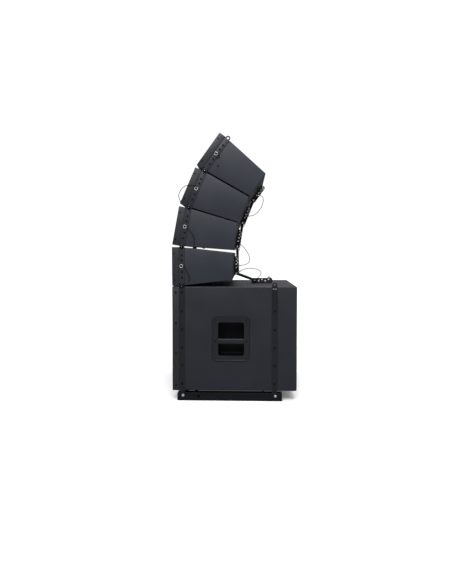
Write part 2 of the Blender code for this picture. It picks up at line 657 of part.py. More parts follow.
def make_lanyards(module_axes, steel):
    """The wires that keep the lock pins and the strap rings from getting lost."""
    for number, route in REAR_LANYARDS.items():
        make_lanyard(f"rear_lanyard_{number}", route, None, steel)
    for number, route in SIDE_LANYARDS.items():
        places = [(SIDE_LANYARD_X, *local(depth, height)) for depth, height in route]
        make_lanyard(f"side_lanyard_{number}", places, module_axes[number - 1], steel)


# ---------------------------------------------------------------- the whole stack

def make_sub(wood, steel, mesh_steel, plastic, paper):
    """The bass cabinet with everything fixed to it."""
    make_sub_cabinet(wood)
    front = axis_empty("sub_front", SUB_FRONT, 0)
    make_grille("sub_grille", SUB_TOP - SUB_BOTTOM, SUB_RETURN, SUB_BOTTOM, front, mesh_steel)
    make_sub_woofer(steel, paper)
    for side in (1, -1):
        make_handle(side, plastic)
    make_sub_straps(steel)
    make_sub_rear_bracket(steel)
    make_connector_plate(steel)


def make_module(number, wood, steel, mesh_steel, plastic):
    """One array cabinet with everything fixed to it, hung on the empty on its lower hinge."""
    place = hinge_places()[number - 1]
    hinge = axis_empty(f"splay_{number}_axis", *place, tilt=MODULE_TILTS[number - 1])
    make_array_cabinet(number, hinge, wood)
    front = axis_empty(f"array_front_{number}", *local(0, 0), parent=hinge)
    make_grille(f"array_grille_{number}", MODULE_HEIGHT, MODULE_RETURN, -MODULE_HEIGHT / 2, front, mesh_steel)
    for side in (1, -1):
        make_array_woofer(number, side, hinge, steel)
        make_module_strap(number, side, hinge, steel)
    make_waveguide(number, hinge, plastic)
    make_rear_bracket(number, hinge, steel)
    return hinge


def make_links(steel, knob_plastic):
    """The four links that set the angles, each with the lock pin in the bracket below it."""
    for number in range(1, MODULE_COUNT + 1):
        pivot = on_module(number, *PIVOT_PLACE)
        if number == 1:
            pin, slot = (SUB_LOCK_Y, SUB_LOCK_Z), FIRST_LINK_SLOT
        else:
            pin, slot = on_module(number - 1, *LOCK_PLACE), UPPER_LINK_SLOT
        make_link(number, pivot, pin, slot, steel)
        make_lock_pin(number, pin, knob_plastic)


for leftover in list(bpy.data.objects):
    bpy.data.objects.remove(leftover, do_unlink=True)

cabinet_paint = paint("cabinet_paint", (0.055, 0.058, 0.065), 0.72)
grille_steel = paint("grille_steel", (0.030, 0.031, 0.034), 0.60, 0.3)
rigging_steel = paint("rigging_steel", (0.045, 0.050, 0.060), 0.48, 0.4)
moulded_plastic = paint("moulded_plastic", (0.035, 0.035, 0.038), 0.55)
cone_paper = paint("cone_paper", (0.028, 0.027, 0.026), 0.85)
covered_wire = paint("covered_wire", (0.030, 0.030, 0.033), 0.50)

make_skid(rigging_steel)
make_sub(cabinet_paint, rigging_steel, grille_steel, moulded_plastic, cone_paper)
hinge_axes = [make_module(number, cabinet_paint, rigging_steel, grille_steel, moulded_plastic)
              for number in range(1, MODULE_COUNT + 1)]
make_links(rigging_steel, moulded_plastic)
make_lanyards(hinge_axes, covered_wire)
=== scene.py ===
"""The looks of a ground-stacked line array loudspeaker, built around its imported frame.

The script follows the stack as a crew puts it together: skid, bass cabinet, the four array
cabinets, then the links, pins and lanyards. What repeats on the array cabinets is modelled once,
on the lowest and upright one, and copied up the column.
"""
import json
import math

import bpy
import bmesh
from mathutils import Matrix, Vector


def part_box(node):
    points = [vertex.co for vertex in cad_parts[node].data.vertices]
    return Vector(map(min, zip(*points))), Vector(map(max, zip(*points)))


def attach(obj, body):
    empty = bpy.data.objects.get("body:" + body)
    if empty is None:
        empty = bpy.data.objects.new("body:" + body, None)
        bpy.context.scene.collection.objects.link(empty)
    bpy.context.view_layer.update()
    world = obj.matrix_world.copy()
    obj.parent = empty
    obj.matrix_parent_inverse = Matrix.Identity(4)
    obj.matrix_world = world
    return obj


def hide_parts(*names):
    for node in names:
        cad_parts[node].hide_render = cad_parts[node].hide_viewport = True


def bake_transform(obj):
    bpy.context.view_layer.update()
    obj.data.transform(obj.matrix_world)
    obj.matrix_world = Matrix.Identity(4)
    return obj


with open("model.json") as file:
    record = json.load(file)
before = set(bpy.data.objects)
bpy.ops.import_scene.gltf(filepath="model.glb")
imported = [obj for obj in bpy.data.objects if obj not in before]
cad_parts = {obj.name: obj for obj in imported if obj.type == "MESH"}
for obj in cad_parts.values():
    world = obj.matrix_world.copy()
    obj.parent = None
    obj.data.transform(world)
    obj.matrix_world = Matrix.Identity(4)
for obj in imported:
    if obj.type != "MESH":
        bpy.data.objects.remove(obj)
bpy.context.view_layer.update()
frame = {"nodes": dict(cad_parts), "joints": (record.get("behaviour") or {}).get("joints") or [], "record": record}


# ---- Camera: level with the lower array cabinets, square to the right side of the stack. Its
# small shift only centres the framing.
FOCAL_LENGTH = 26.42
CAMERA_PLACE = (2.653, 0.066, 0.823)
CAMERA_PAN = math.radians(-1.66)
CAMERA_DIP = math.radians(-1.95)

camera_data = bpy.data.cameras.new("camera")
camera_data.lens = FOCAL_LENGTH
camera_data.sensor_width = 36.0
camera_data.shift_x = -0.0137
camera_data.shift_y = -0.0425
camera = bpy.data.objects.new("camera", camera_data)
bpy.context.scene.collection.objects.link(camera)
aim = Vector((-math.cos(CAMERA_DIP) * math.cos(CAMERA_PAN),
              math.cos(CAMERA_DIP) * math.sin(CAMERA_PAN), math.sin(CAMERA_DIP)))
camera.location = CAMERA_PLACE
camera.rotation_euler = aim.to_track_quat("-Z", "Y").to_euler()
bpy.context.scene.camera = camera


# ---- Studio: a white seamless floor, an even white surround and two soft boxes overhead. The
# surround is brighter above than at eye level and the floor throws little light back up, so the
# black paint falls off towards the floor.
bpy.context.scene.view_settings.view_transform = "Standard"


def add_node(tree, kind, inputs, **settings):
    """A shader node with its settings. Each input gets a value or another node's output."""
    node = tree.nodes.new("ShaderNode" + kind)
    for name, value in settings.items():
        setattr(node, name, value)
    for name, value in inputs.items():
        if isinstance(value, bpy.types.NodeSocket):
            tree.links.new(value, node.inputs[name])
        else:
            node.inputs[name].default_value = value
    return node


surround = bpy.data.worlds.new("white_studio")
surround.use_nodes = True
bpy.context.scene.world = surround
tree = surround.node_tree
direction = add_node(tree, "TexCoord", {})
height = add_node(tree, "SeparateXYZ", {0: direction.outputs["Generated"]})
falloff = add_node(tree, "MapRange", {"Value": height.outputs["Z"], "From Min": -0.1, "From Max": 0.9,
                                      "To Min": 0.22, "To Max": 0.76})
seen = add_node(tree, "LightPath", {})
level = add_node(tree, "Mix", {0: seen.outputs["Is Camera Ray"], 2: falloff.outputs["Result"], 3: 1.05})
background = tree.nodes["Background"]
background.inputs["Color"].default_value = (1.0, 1.0, 1.0, 1.0)
tree.links.new(level.outputs[0], background.inputs["Strength"])


def soft_box(name, place, target, width, depth, power):
    """A rectangular area light that points at a target."""
    lamp = bpy.data.lights.new(name, "AREA")
    lamp.shape = "RECTANGLE"
    lamp.size = width
    lamp.size_y = depth
    lamp.energy = power
    box = bpy.data.objects.new(name, lamp)
    bpy.context.scene.collection.objects.link(box)
    box.location = place
    box.rotation_euler = (Vector(target) - Vector(place)).to_track_quat("-Z", "Y").to_euler()


soft_box("overhead_box", (0.5, 0.4, 3.3), (0, 0, 0.9), 2.4, 2.4, 76)
soft_box("side_box", (2.6, -0.4, 3.1), (0, 0, 1.1), 2.2, 1.2, 96)

bpy.ops.object.select_all(action="DESELECT")
bpy.ops.mesh.primitive_plane_add(size=24)
floor = bpy.context.object
floor.name = "studio_floor"
floor_paint = bpy.data.materials.new("floor_white")
floor_paint.use_nodes = True
tree = floor_paint.node_tree
spot = add_node(tree, "TexCoord", {})
away = add_node(tree, "VectorMath", {0: spot.outputs["Object"]}, operation="LENGTH")
# The floor glows for the camera, weakly near the stack and strongly far from it: painted shade on the floor round
# the base.
floor_glow_painted_shade = add_node(tree, "MapRange", {"Value": away.outputs["Value"], "From Min": 0.5, "From Max": 3.0,
                                   "To Min": 0.10, "To Max": 0.85})
seen_paint = tree.nodes["Principled BSDF"]
seen_paint.inputs["Base Color"].default_value = (0.93, 0.93, 0.94, 1.0)
seen_paint.inputs["Roughness"].default_value = 0.9
seen_paint.inputs["Emission Color"].default_value = (1.0, 1.0, 1.0, 1.0)
tree.links.new(floor_glow_painted_shade.outputs["Result"], seen_paint.inputs["Emission Strength"])
dim_paint = add_node(tree, "BsdfDiffuse", {"Color": (0.42, 0.42, 0.43, 1.0)})
seen = add_node(tree, "LightPath", {})
either = add_node(tree, "MixShader", {0: seen.outputs["Is Camera Ray"], 1: dim_paint.outputs[0],
                                      2: seen_paint.outputs[0]})
tree.links.new(either.outputs[0], tree.nodes["Material Output"].inputs["Surface"])
floor.data.materials.append(floor_paint)


# ---- Lanyards: thin plastic-covered wires that keep the lock pins and the strap pins with their
# cabinet. Each end is crimped in a black sleeve. The rear ones reach from one cabinet to the next.
LANYARD_DIAMETER = 0.0035
ROUTE_SPACING = 2.4 * LANYARD_DIAMETER
FERRULE_RADIUS = 0.0026
FERRULE_LENGTH = 0.009
FERRULE_OVERHANG = 0.0035
WAIST_HALF = 0.0015
REAR_LANYARDS = {
    1: [(0.022, 0.024, 0.7060), (0.024, 0.040, 0.7160), (0.026, 0.060, 0.7240), (0.027, 0.087, 0.7269),
        (0.027, 0.113, 0.7250), (0.027, 0.135, 0.7194), (0.027, 0.151, 0.7093), (0.027, 0.156, 0.6987),
        (0.027, 0.152, 0.6855), (0.0265, 0.142, 0.6740), (0.026, 0.130, 0.6650)],
    2: [(0.022, 0.0276, 0.8734), (0.024, 0.0432, 0.8609), (0.026, 0.0608, 0.8415), (0.027, 0.0758, 0.8171),
        (0.027, 0.0846, 0.7951), (0.027, 0.0858, 0.7820), (0.027, 0.0802, 0.7645), (0.0265, 0.0670, 0.7532),
        (0.026, 0.0520, 0.7475), (0.026, 0.0363, 0.7457), (0.026, 0.0228, 0.7428)],
    4: [(0.018, 0.1478, 1.1712), (0.021, 0.1597, 1.1666), (0.024, 0.1672, 1.1534), (0.026, 0.1675, 1.1334),
        (0.027, 0.1597, 1.1071), (0.027, 0.1441, 1.0808), (0.0265, 0.1221, 1.0588), (0.026, 0.1002, 1.0482),
        (0.026, 0.0788, 1.0452)],
}
SIDE_LANYARD_X = 0.3050
SIDE_LANYARDS = {
    1: [(0.067, 0.0085), (0.080, -0.022), (0.0936, -0.0487), (0.0975, -0.083)],
    2: [(0.0655, 0.0015), (0.073, -0.0056), (0.087, -0.0171), (0.113, -0.0462), (0.1208, -0.083)],
    3: [(0.051, 0.0160), (0.035, 0.0165), (0.0145, 0.0080), (-0.003, -0.0034), (-0.0165, -0.0201),
        (-0.0222, -0.0401), (-0.0232, -0.0576), (-0.0208, -0.0729), (-0.0100, -0.0859), (0.0020, -0.0987)],
    4: [(0.0640, 0.0060), (0.072, 0.0075), (0.079, 0.0010), (0.078, -0.0080), (0.0705, -0.0120),
        (0.0635, -0.0070)],
}
HINGE_DEPTH = 0.055
hinges = {number: Vector(joint["pos_m"]) for number in range(1, 5)
          for joint in frame["joints"] if joint["name"] == f"splay_{number}"}
free_lug = Vector(next(mount["pos_m"] for mount in frame["record"]["mounts"]
                       if mount["name"] == "free_lug_right"))
PITCH = (hinges[2] - hinges[1]).length
MIDDLE_HEIGHT = hinges[1].z + PITCH / 2
FRONT = hinges[1].y - HINGE_DEPTH


def module_matrix(number):
    """Takes a piece on the lowest, upright array cabinet to the same place on cabinet 1 to 4."""
    above = free_lug if number == 4 else hinges[number + 1]
    tilt = math.atan2(above.y - hinges[number].y, above.z - hinges[number].z)
    there = Matrix.Translation(hinges[number]) @ Matrix.Rotation(-tilt, 4, "X")
    return there @ Matrix.Translation(-hinges[1])


def on_lowest(x, depth, height):
    """A place on the lowest array cabinet: across, behind its front, and above its middle."""
    return Vector((x, FRONT + depth, MIDDLE_HEIGHT + height))


def length_of(route):
    """The length of a line through its points."""
    return sum(math.dist(a, b) for a, b in zip(route, route[1:]))


def between(a, b, c, d, t):
    """One coordinate on the smooth curve from b to c, with a before them and d after them."""
    return 0.5 * (2 * b + (c - a) * t + (2 * a - 5 * b + 4 * c - d) * t * t
                  + (3 * b - a - 3 * c + d) * t ** 3)


def smooth_route(points, spacing):
    """Points a fixed distance apart on one smooth curve through a lanyard's own points."""
    steps = 24
    padded = [points[0]] + list(points) + [points[-1]]
    dense = []
    for index in range(len(points) - 1):
        for step in range(steps):
            dense.append([between(*places, step / steps) for places in zip(*padded[index:index + 4])])
    dense.append(list(points[-1]))
    total = length_of(dense)
    count = max(3, round(total / spacing))
    route = [dense[0]]
    travelled = 0.0
    for a, b in zip(dense, dense[1:]):
        travelled += math.dist(a, b)
        if travelled >= total * len(route) / count and len(route) < count:
            route.append(b)
    route.append(dense[-1])
    return route


def wear_and_sheen_edges(tree, place, paint, wear_and_sheen):
    """A paint that is rubbed off in patches along its outer edges and lighter there: partly wear, partly a painted
    highlight.
    """
    surface = add_node(tree, "NewGeometry", {})
    rounded = add_node(tree, "Bevel", {"Radius": 0.0016}, samples=4)
    agree = add_node(tree, "VectorMath", {0: surface.outputs["Normal"], 1: rounded.outputs["Normal"]},
                     operation="DOT_PRODUCT")
    edge = add_node(tree, "MapRange", {"Value": agree.outputs["Value"],
                                       "From Min": 0.985, "From Max": 0.90})
    patches = add_node(tree, "TexNoise", {"Vector": place, "Scale": 60.0, "Detail": 6.0})
    patch_mask = add_node(tree, "MapRange", {"Value": patches.outputs["Fac"],
                                          "From Min": 0.45, "From Max": 0.62})
    # Lighter colour in patches where the surface turns round an edge: partly wear, partly a painted edge
    # highlight.
    wear_and_sheen_mask = add_node(tree, "Math", {0: edge.outputs["Result"], 1: patch_mask.outputs["Result"]},
                   operation="MULTIPLY")
    return add_node(tree, "Mix", {0: wear_and_sheen_mask.outputs[0], 6: paint, 7: (*wear_and_sheen, 1.0)}, data_type="RGBA").outputs[2]


def coating(name, dark, light, roughness, grain_size, grain_depth, metallic=0.0, wear_and_sheen=None, shine=0.3):
    """A painted or plated finish: cloudy between two shades, finely grained, rubbed bright on its edges, which is
    partly wear and partly a painted highlight.
    """
    material = bpy.data.materials.new(name)
    material.use_nodes = True
    tree = material.node_tree
    place = add_node(tree, "TexCoord", {}).outputs["Object"]
    cloud = add_node(tree, "TexNoise", {"Vector": place, "Scale": 7.0, "Detail": 5.0}).outputs["Fac"]
    fine = add_node(tree, "TexNoise", {"Vector": place, "Scale": 1.0 / grain_size, "Detail": 3.0,
                                       "Roughness": 0.6}).outputs["Fac"]
    blend = add_node(tree, "Math", {0: cloud, 1: 0.55, 2: fine}, operation="MULTIPLY_ADD")
    spread = add_node(tree, "MapRange", {"Value": blend.outputs[0], "From Min": 0.50, "From Max": 1.05})
    paint = add_node(tree, "Mix", {0: spread.outputs["Result"], 6: (*dark, 1.0), 7: (*light, 1.0)},
                     data_type="RGBA").outputs[2]
    gloss = add_node(tree, "MapRange", {"Value": cloud, "From Min": 0.3, "From Max": 0.7,
                                        "To Min": roughness[0], "To Max": roughness[1]})
    bump = add_node(tree, "Bump", {"Height": fine, "Strength": 0.8, "Distance": grain_depth})
    shader = tree.nodes["Principled BSDF"]
    shader.inputs["Metallic"].default_value = metallic
    shader.inputs["Specular IOR Level"].default_value = 0.5 if metallic else shine
    tree.links.new(wear_and_sheen_edges(tree, place, paint, wear_and_sheen) if wear_and_sheen else paint, shader.inputs["Base Color"])
    tree.links.new(gloss.outputs["Result"], shader.inputs["Roughness"])
    tree.links.new(bump.outputs["Normal"], shader.inputs["Normal"])
    return material


lanyard_cover = coating("lanyard_cover", dark=(0.005, 0.005, 0.006), light=(0.012, 0.012, 0.014),
                        roughness=(0.35, 0.5), grain_size=0.0008, grain_depth=0.0001, shine=0.2)
crimp_black = coating("crimp_black", dark=(0.004, 0.004, 0.005), light=(0.010, 0.010, 0.011),
                      roughness=(0.3, 0.45), grain_size=0.0006, grain_depth=0.00004, shine=0.25)
zinc_plate = coating("zinc_plate", dark=(0.62, 0.62, 0.63), light=(0.80, 0.80, 0.82),
                     roughness=(0.22, 0.40), grain_size=0.0006, grain_depth=0.00002, metallic=1.0)


def finish_piece(piece, name, material, body, node=None):
    """Names and coats a piece, lets it move with its body and stand for a plain node of the frame."""
    piece.name = name
    piece.data.name = name
    piece.data.materials.clear()
    piece.data.materials.append(material)
    if body:
        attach(piece, body)
    if node:
        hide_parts(node)
    return piece


def select_only(*pieces):
    """Leaves only these pieces selected, the first of them active."""
    bpy.ops.object.select_all(action="DESELECT")
    for piece in pieces:
        piece.select_set(True)
    bpy.context.view_layer.objects.active = pieces[0]


def dowel(place, radius, low, high, sides=32, axis="X"):
    """A round bar along X, Y or Z from low to high, through a place."""
    bpy.ops.object.select_all(action="DESELECT")
    turn = {"X": (0, math.pi / 2, 0), "Y": (math.pi / 2, 0, 0), "Z": (0, 0, 0)}[axis]
    bpy.ops.mesh.primitive_cylinder_add(vertices=sides, radius=radius, depth=high - low, rotation=turn)
    piece = bpy.context.object
    spot = Vector(place)
    spot["XYZ".index(axis)] = (low + high) / 2
    piece.location = spot
    bpy.ops.object.transform_apply(location=True, rotation=True, scale=True)
    return piece


def choose(piece, kind, test):
    """Opens a piece in edit mode with only the edges or faces that pass the test selected."""
    select_only(piece)
    bpy.ops.object.mode_set(mode="EDIT")
    bpy.ops.mesh.select_mode(type=kind)
    bpy.ops.mesh.select_all(action="DESELECT")
    mesh = bmesh.from_edit_mesh(piece.data)
    parts = mesh.faces if kind == "FACE" else mesh.edges if kind == "EDGE" else mesh.verts
    for part in parts:
        if test(part):
            part.select_set(True)
    mesh.select_flush_mode()
    bmesh.update_edit_mesh(piece.data)


def close_edit():
    """Leaves edit mode."""
    bpy.ops.object.mode_set(mode="OBJECT")


def apply_modifier(piece, modifier):
    """Applies one modifier to its piece."""
    select_only(piece)
    bpy.ops.object.modifier_apply(modifier=modifier.name)


def smooth(piece, angle=32):
    """Shades a piece smooth, except over its real edges."""
    select_only(piece)
    bpy.ops.object.shade_smooth_by_angle(angle=math.radians(angle))
    return piece


def make_wire(name, route, body, node):
    """A round wire along its route, as a closed tube."""
    curve = bpy.data.curves.new(name, "CURVE")
    curve.dimensions = "3D"
    curve.bevel_depth = LANYARD_DIAMETER / 2
    curve.bevel_resolution = 3
    curve.use_fill_caps = True
    spline = curve.splines.new("POLY")
    spline.points.add(len(route) - 1)
    for point, place in zip(spline.points, route):
        point.co = (*place, 1.0)
    wire = bpy.data.objects.new(name, curve)
    bpy.context.scene.collection.objects.link(wire)
    select_only(wire)
    bpy.ops.object.convert(target="MESH")
    return finish_piece(smooth(bpy.context.object, 50), name, lanyard_cover, body, node)


def make_ferrule(name, place, towards, body):
    """The crimped sleeve on a lanyard's end, with a waist where the tool pressed it."""
    run = Vector(towards) - Vector(place)
    sleeve = dowel((0, 0, 0), FERRULE_RADIUS, -FERRULE_LENGTH / 2, FERRULE_LENGTH / 2, 20, "Z")
    choose(sleeve, "FACE", lambda face: True)
    for height in (-WAIST_HALF, WAIST_HALF):
        bpy.ops.mesh.select_all(action="SELECT")
        bpy.ops.mesh.bisect(plane_co=(0, 0, height), plane_no=(0, 0, 1))
    close_edit()
    choose(sleeve, "VERT", lambda vertex: abs(vertex.co.z) < WAIST_HALF + 0.0005)
    bpy.ops.transform.resize(value=(1.12, 0.82, 1.0))
    close_edit()
    bevel = sleeve.modifiers.new("rounded ends", "BEVEL")
    bevel.width = 0.0005
    bevel.segments = 2
    apply_modifier(sleeve, bevel)
    middle = Vector(place) + run.normalized() * FERRULE_OVERHANG
    sleeve.data.transform(Matrix.Translation(middle) @ run.to_track_quat("Z", "Y").to_matrix().to_4x4())
    return finish_piece(smooth(sleeve, 40), name, crimp_black, body)


def hang_lanyard(kind, number, points, words, bodies):
    """A lanyard with a sleeve on each end. Each end has its word and the body that it is fixed to."""
    route = smooth_route(points, ROUTE_SPACING)
    first, last = bodies
    wire = make_wire(f"{kind}_lanyard_wire_{number}", route, first if first == last else None,
                     f"{kind}_lanyard_{number}")
    ends = [make_ferrule(f"{kind}_ferrule_{words[0]}_{number}", route[0], route[1], first),
            make_ferrule(f"{kind}_ferrule_{words[1]}_{number}", route[-1], route[-2], last)]
    if first != last:
        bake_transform(wire)


for number, points in REAR_LANYARDS.items():
    lower_body = "sub" if number == 1 else f"module_{number - 1}"
    hang_lanyard("rear", number, points, ("upper", "lower"), (f"module_{number}", lower_body))

for number, points in SIDE_LANYARDS.items():
    places = [tuple(module_matrix(number) @ on_lowest(SIDE_LANYARD_X, *point)) for point in points]
    hang_lanyard("side", number, places, ("ring", "tail"), (f"module_{number}", f"module_{number}"))


# ---- Skid: two side rails of 3 mm folded steel, open at the top and the ends, with two folded
# cross members between them that the bass cabinet stands on. Black powder coat, painted darker here
# than on the other steel parts as shade, since the skid stands lowest. A bright pin through each rail
# holds the foot of each side strap.
RAIL_INNER = 0.270
RAIL_OUTER = 0.3035
RAIL_WALL = 0.003
RAIL_FOLD = 0.005
RAIL_BACK = 0.264
RAIL_HEIGHT = 0.046
RAIL_HOLE = (0, -0.199, 0.025)
RAIL_HOLE_RADIUS = 0.008
SEAM_RADIUS = 0.0022
SKID_PIN_RADIUS = 0.0072
SKID_PIN_HOLLOW = 0.0034
SKID_PIN_HEIGHT = 0.030
SKID_PIN_SHIFT = 0.0045
FRONT_STRAP_Y = hinges[1].y
REAR_STRAP_Y = 0.222
CROSS_PLACES = (-0.250, 0.190)
CROSS_HALF = 0.030

powder_coat = coating("powder_coat", dark=(0.0043, 0.0050, 0.0071), light=(0.0093, 0.0102, 0.0136),
                      roughness=(0.36, 0.50), grain_size=0.0009, grain_depth=0.00006,
                      wear_and_sheen=(0.055, 0.057, 0.064), shine=0.26)
# A darker copy of the powder coat for the skid: painted shade, since the rails stand low, where less light falls.
rail_coat_painted_shade = coating("rail_coat_painted_shade", dark=(0.0020, 0.0024, 0.0042), light=(0.0060, 0.0066, 0.0092),
                    roughness=(0.40, 0.55), grain_size=0.0010, grain_depth=0.00008,
                    wear_and_sheen=(0.040, 0.041, 0.044), shine=0.16)


def slab(low, high):
    """A rectangular block between two corners, to be shaped further."""
    bpy.ops.object.select_all(action="DESELECT")
    low, high = Vector(low), Vector(high)
    bpy.ops.mesh.primitive_cube_add(size=1, location=(low + high) / 2)
    piece = bpy.context.object
    piece.scale = high - low
    bpy.ops.object.transform_apply(location=True, rotation=True, scale=True)
    return piece


def centre_of(part):
    """The middle of an edge or a face."""
    return sum((vertex.co for vertex in part.verts), Vector()) / len(part.verts)


def runs_along(edge, axis):
    """Whether an edge lies along X (0), Y (1) or Z (2)."""
    run = edge.verts[1].co - edge.verts[0].co
    return abs(run[axis]) > 0.99 * run.length


def round_edges(piece, test, radius, segments=3):
    """Rounds the chosen edges to a radius."""
    choose(piece, "EDGE", test)
    bpy.ops.mesh.bevel(offset=radius, segments=segments, profile=0.5, affect="EDGES")
    close_edit()


def round_rim(bar, axis, way, beyond, radius, segments=3):
    """Rounds the rim of a round bar where it lies beyond a place along its axis, one way (1) or the other."""
    round_edges(bar, lambda edge: not runs_along(edge, axis) and way * centre_of(edge)[axis] > way * beyond,
                radius, segments)


def rounded_slab(low, high, axis, radius, segments):
    """A block whose four edges along X (0), Y (1) or Z (2) are rounded."""
    block = slab(low, high)
    round_edges(block, lambda edge: runs_along(edge, axis), radius, segments)
    return block


def drop_faces(piece, test):
    """Takes the chosen faces off a block, which leaves it open there."""
    choose(piece, "FACE", test)
    bpy.ops.mesh.delete(type="FACE")
    close_edit()


def thicken(piece, thickness):
    """Gives an open shell its wall, inwards from its faces."""
    wall = piece.modifiers.new("wall", "SOLIDIFY")
    wall.thickness = thickness
    wall.offset = -1
    wall.use_even_offset = True
    apply_modifier(piece, wall)


def boolean(piece, tools, operation):
    """Cuts tools out of a piece, or welds them to it, and uses them up."""
    for tool in tools:
        cut = piece.modifiers.new("cut", "BOOLEAN")
        cut.operation = operation
        cut.solver = "EXACT"
        cut.object = tool
        apply_modifier(piece, cut)
        bpy.data.objects.remove(tool, do_unlink=True)
    return piece


def carve(piece, *tools):
    """Cuts tools out of a piece."""
    return boolean(piece, tools, "DIFFERENCE")


def weld(piece, *parts):
    """Welds parts to a piece as one body."""
    return boolean(piece, parts, "UNION")


def ease_edges(piece, width, segments=2, above=30):
    """Breaks every edge sharper than an angle with a small round."""
    ease = piece.modifiers.new("eased edges", "BEVEL")
    ease.width = width
    ease.segments = segments
    ease.limit_method = "ANGLE"
    ease.angle_limit = math.radians(above)
    ease.use_clamp_overlap = True
    ease.miter_outer = "MITER_ARC"
    apply_modifier(piece, ease)


def gather(pieces):
    """Puts several pieces into one object; they stay separate shells."""
    select_only(*pieces)
    if len(pieces) > 1:
        bpy.ops.object.join()
    return bpy.context.object


def duplicate(piece):
    """A copy of a piece with its own mesh."""
    twin = piece.copy()
    twin.data = piece.data.copy()
    bpy.context.scene.collection.objects.link(twin)
    return twin


def mirrored(piece):
    """A copy of a piece on the other side of the stack, with its faces still pointing out."""
    twin = duplicate(piece)
    twin.data.transform(Matrix.Scale(-1, 4, (1, 0, 0)))
    twin.data.flip_normals()
    return twin


skid_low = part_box("base_frame")[0]
sub_low, sub_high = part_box("sub_cabinet")
rail = slab((RAIL_INNER, skid_low.y, 0), (RAIL_OUTER, RAIL_BACK, RAIL_HEIGHT))
drop_faces(rail, lambda face: face.normal.z > 0.9 or abs(face.normal.y) > 0.9)
round_edges(rail, lambda edge: runs_along(edge, 1) and centre_of(edge).z < 0.001, RAIL_FOLD, 4)
thicken(rail, RAIL_WALL)
carve(rail, dowel(RAIL_HOLE, RAIL_HOLE_RADIUS, RAIL_OUTER - 0.010, RAIL_OUTER + 0.010))
ease_edges(rail, 0.0008)
smooth(rail)
rails = [rail, mirrored(rail)]
cross_members = []
for place in CROSS_PLACES:
    member = slab((-RAIL_INNER + 0.0002, place - CROSS_HALF, 0.0004),
                  (RAIL_INNER - 0.0002, place + CROSS_HALF, sub_low.z - 0.0003))
    drop_faces(member, lambda face: face.normal.z < -0.9 or abs(face.normal.x) > 0.9)
    round_edges(member, lambda edge: runs_along(edge, 0) and centre_of(edge).z > 0.05, RAIL_FOLD, 4)
    thicken(member, RAIL_WALL)
    ease_edges(member, 0.0008)
    cross_members.append(smooth(member))
weld_seams = []
for member_y in CROSS_PLACES:
    for side in (1, -1):
        for edge_y in (member_y - CROSS_HALF, member_y + CROSS_HALF):
            seam = dowel((side * RAIL_INNER, edge_y, 0), SEAM_RADIUS, 0.004, RAIL_HEIGHT - 0.004, 12, "Z")
            round_rim(seam, 2, 1, -1, 0.0012, 2)
            weld_seams.append(smooth(seam))
skid = gather(rails + cross_members + weld_seams)
finish_piece(skid, "skid", rail_coat_painted_shade, "sub", "base_frame")


def socket_bolt(place, radius, out_x, head, sides=40):
    """A round bolt head on the right side: rounded rim and a hexagon socket."""
    bolt = dowel(place, radius, out_x - head - 0.001, out_x, sides)
    round_rim(bolt, 0, 1, out_x - 0.0001, min(head * 0.45, radius * 0.3))
    carve(bolt, dowel(place, radius * 0.48, out_x - head * 0.75, out_x + 0.002, 6))
    return smooth(bolt)


skid_pins = []
for place in (FRONT_STRAP_Y, REAR_STRAP_Y):
    middle = (0, place + SKID_PIN_SHIFT, SKID_PIN_HEIGHT)
    pin = dowel(middle, SKID_PIN_RADIUS, RAIL_INNER + 0.004, RAIL_OUTER + 0.0034)
    round_rim(pin, 0, 1, 0, 0.0012)
    carve(pin, dowel(middle, SKID_PIN_HOLLOW, RAIL_OUTER + 0.0020, RAIL_OUTER + 0.010, 24))
    skid_pins.append(smooth(pin))
skid_pins += [mirrored(pin) for pin in skid_pins]
pin_steel = coating("pin_steel", dark=(0.36, 0.39, 0.43), light=(0.52, 0.55, 0.60),
                    roughness=(0.35, 0.50), grain_size=0.0006, grain_depth=0.00003, metallic=0.6)
finish_piece(gather(skid_pins), "skid_pins", pin_steel, "sub")


# ---- Bass cabinet: a birch plywood box under hard black textured paint, with 5 mm rounded edges.
# It is cut away for the grille's returns, the four straps, the hinge ears, the handles, the woofer
# and the socket plate.
PLY = 0.018
EDGE_ROUND = 0.005
SHEET = 0.002
GAP = 0.0003
GROOVE_GAP = 0.0014
STRAP_HALF = 0.015
STRAP_INNER = 0.294
EAR_INNER = 0.2875
SIDE = sub_high.x
BAFFLE_FRONT = -0.318
BAFFLE_BACK = -0.300
WOOFER_HEIGHT = (sub_low.z + sub_high.z) / 2
MOUTH_FRONT, MOUTH_BACK, MOUTH_LOW, MOUTH_HIGH = -0.090, 0.053, 0.251, 0.438
MOUTH_CORNER = 0.012
HANDLE_CORNER = 0.024
HANDLE_RECESS = 0.003
WOOFER_MOUTH_RADIUS = 0.208
SOCKET_POCKET_LOW = (-0.080, 0.250)
SOCKET_POCKET_HIGH = (0.080, 0.470)
SOCKET_POCKET_DEPTH = 0.0045
EAR_GROOVE_HALF = 0.016
EAR_GROOVE_HEIGHT = 0.014
handle_low, handle_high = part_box("sub_handle_right")

# A darker copy of the array cabinets' textured paint: painted shade, since the bass cabinet stands lower, where
# less light falls.
bass_paint_painted_shade = coating("bass_paint_painted_shade", dark=(0.0077, 0.0089, 0.0136), light=(0.0155, 0.0173, 0.0244),
                     roughness=(0.44, 0.60), grain_size=0.0011, grain_depth=0.00020,
                     wear_and_sheen=(0.045, 0.045, 0.048))


def side_slab(side, low_x, high_x, low_y, high_y, low_z, high_z):
    """A block on the right (1) or left (-1) side."""
    first, second = (low_x, high_x) if side > 0 else (-high_x, -low_x)
    return slab((first, low_y, low_z), (second, high_y, high_z))


def rounded_mouth(side, depth_x, spread, corner):
    """A block through the side wall with round corners, as wide as the handle's mouth plus a spread."""
    block = side_slab(side, depth_x, SIDE + 0.020, MOUTH_FRONT - spread, MOUTH_BACK + spread,
                      MOUTH_LOW - spread, MOUTH_HIGH + spread)
    round_edges(block, lambda edge: runs_along(edge, 0), corner, 5)
    return block


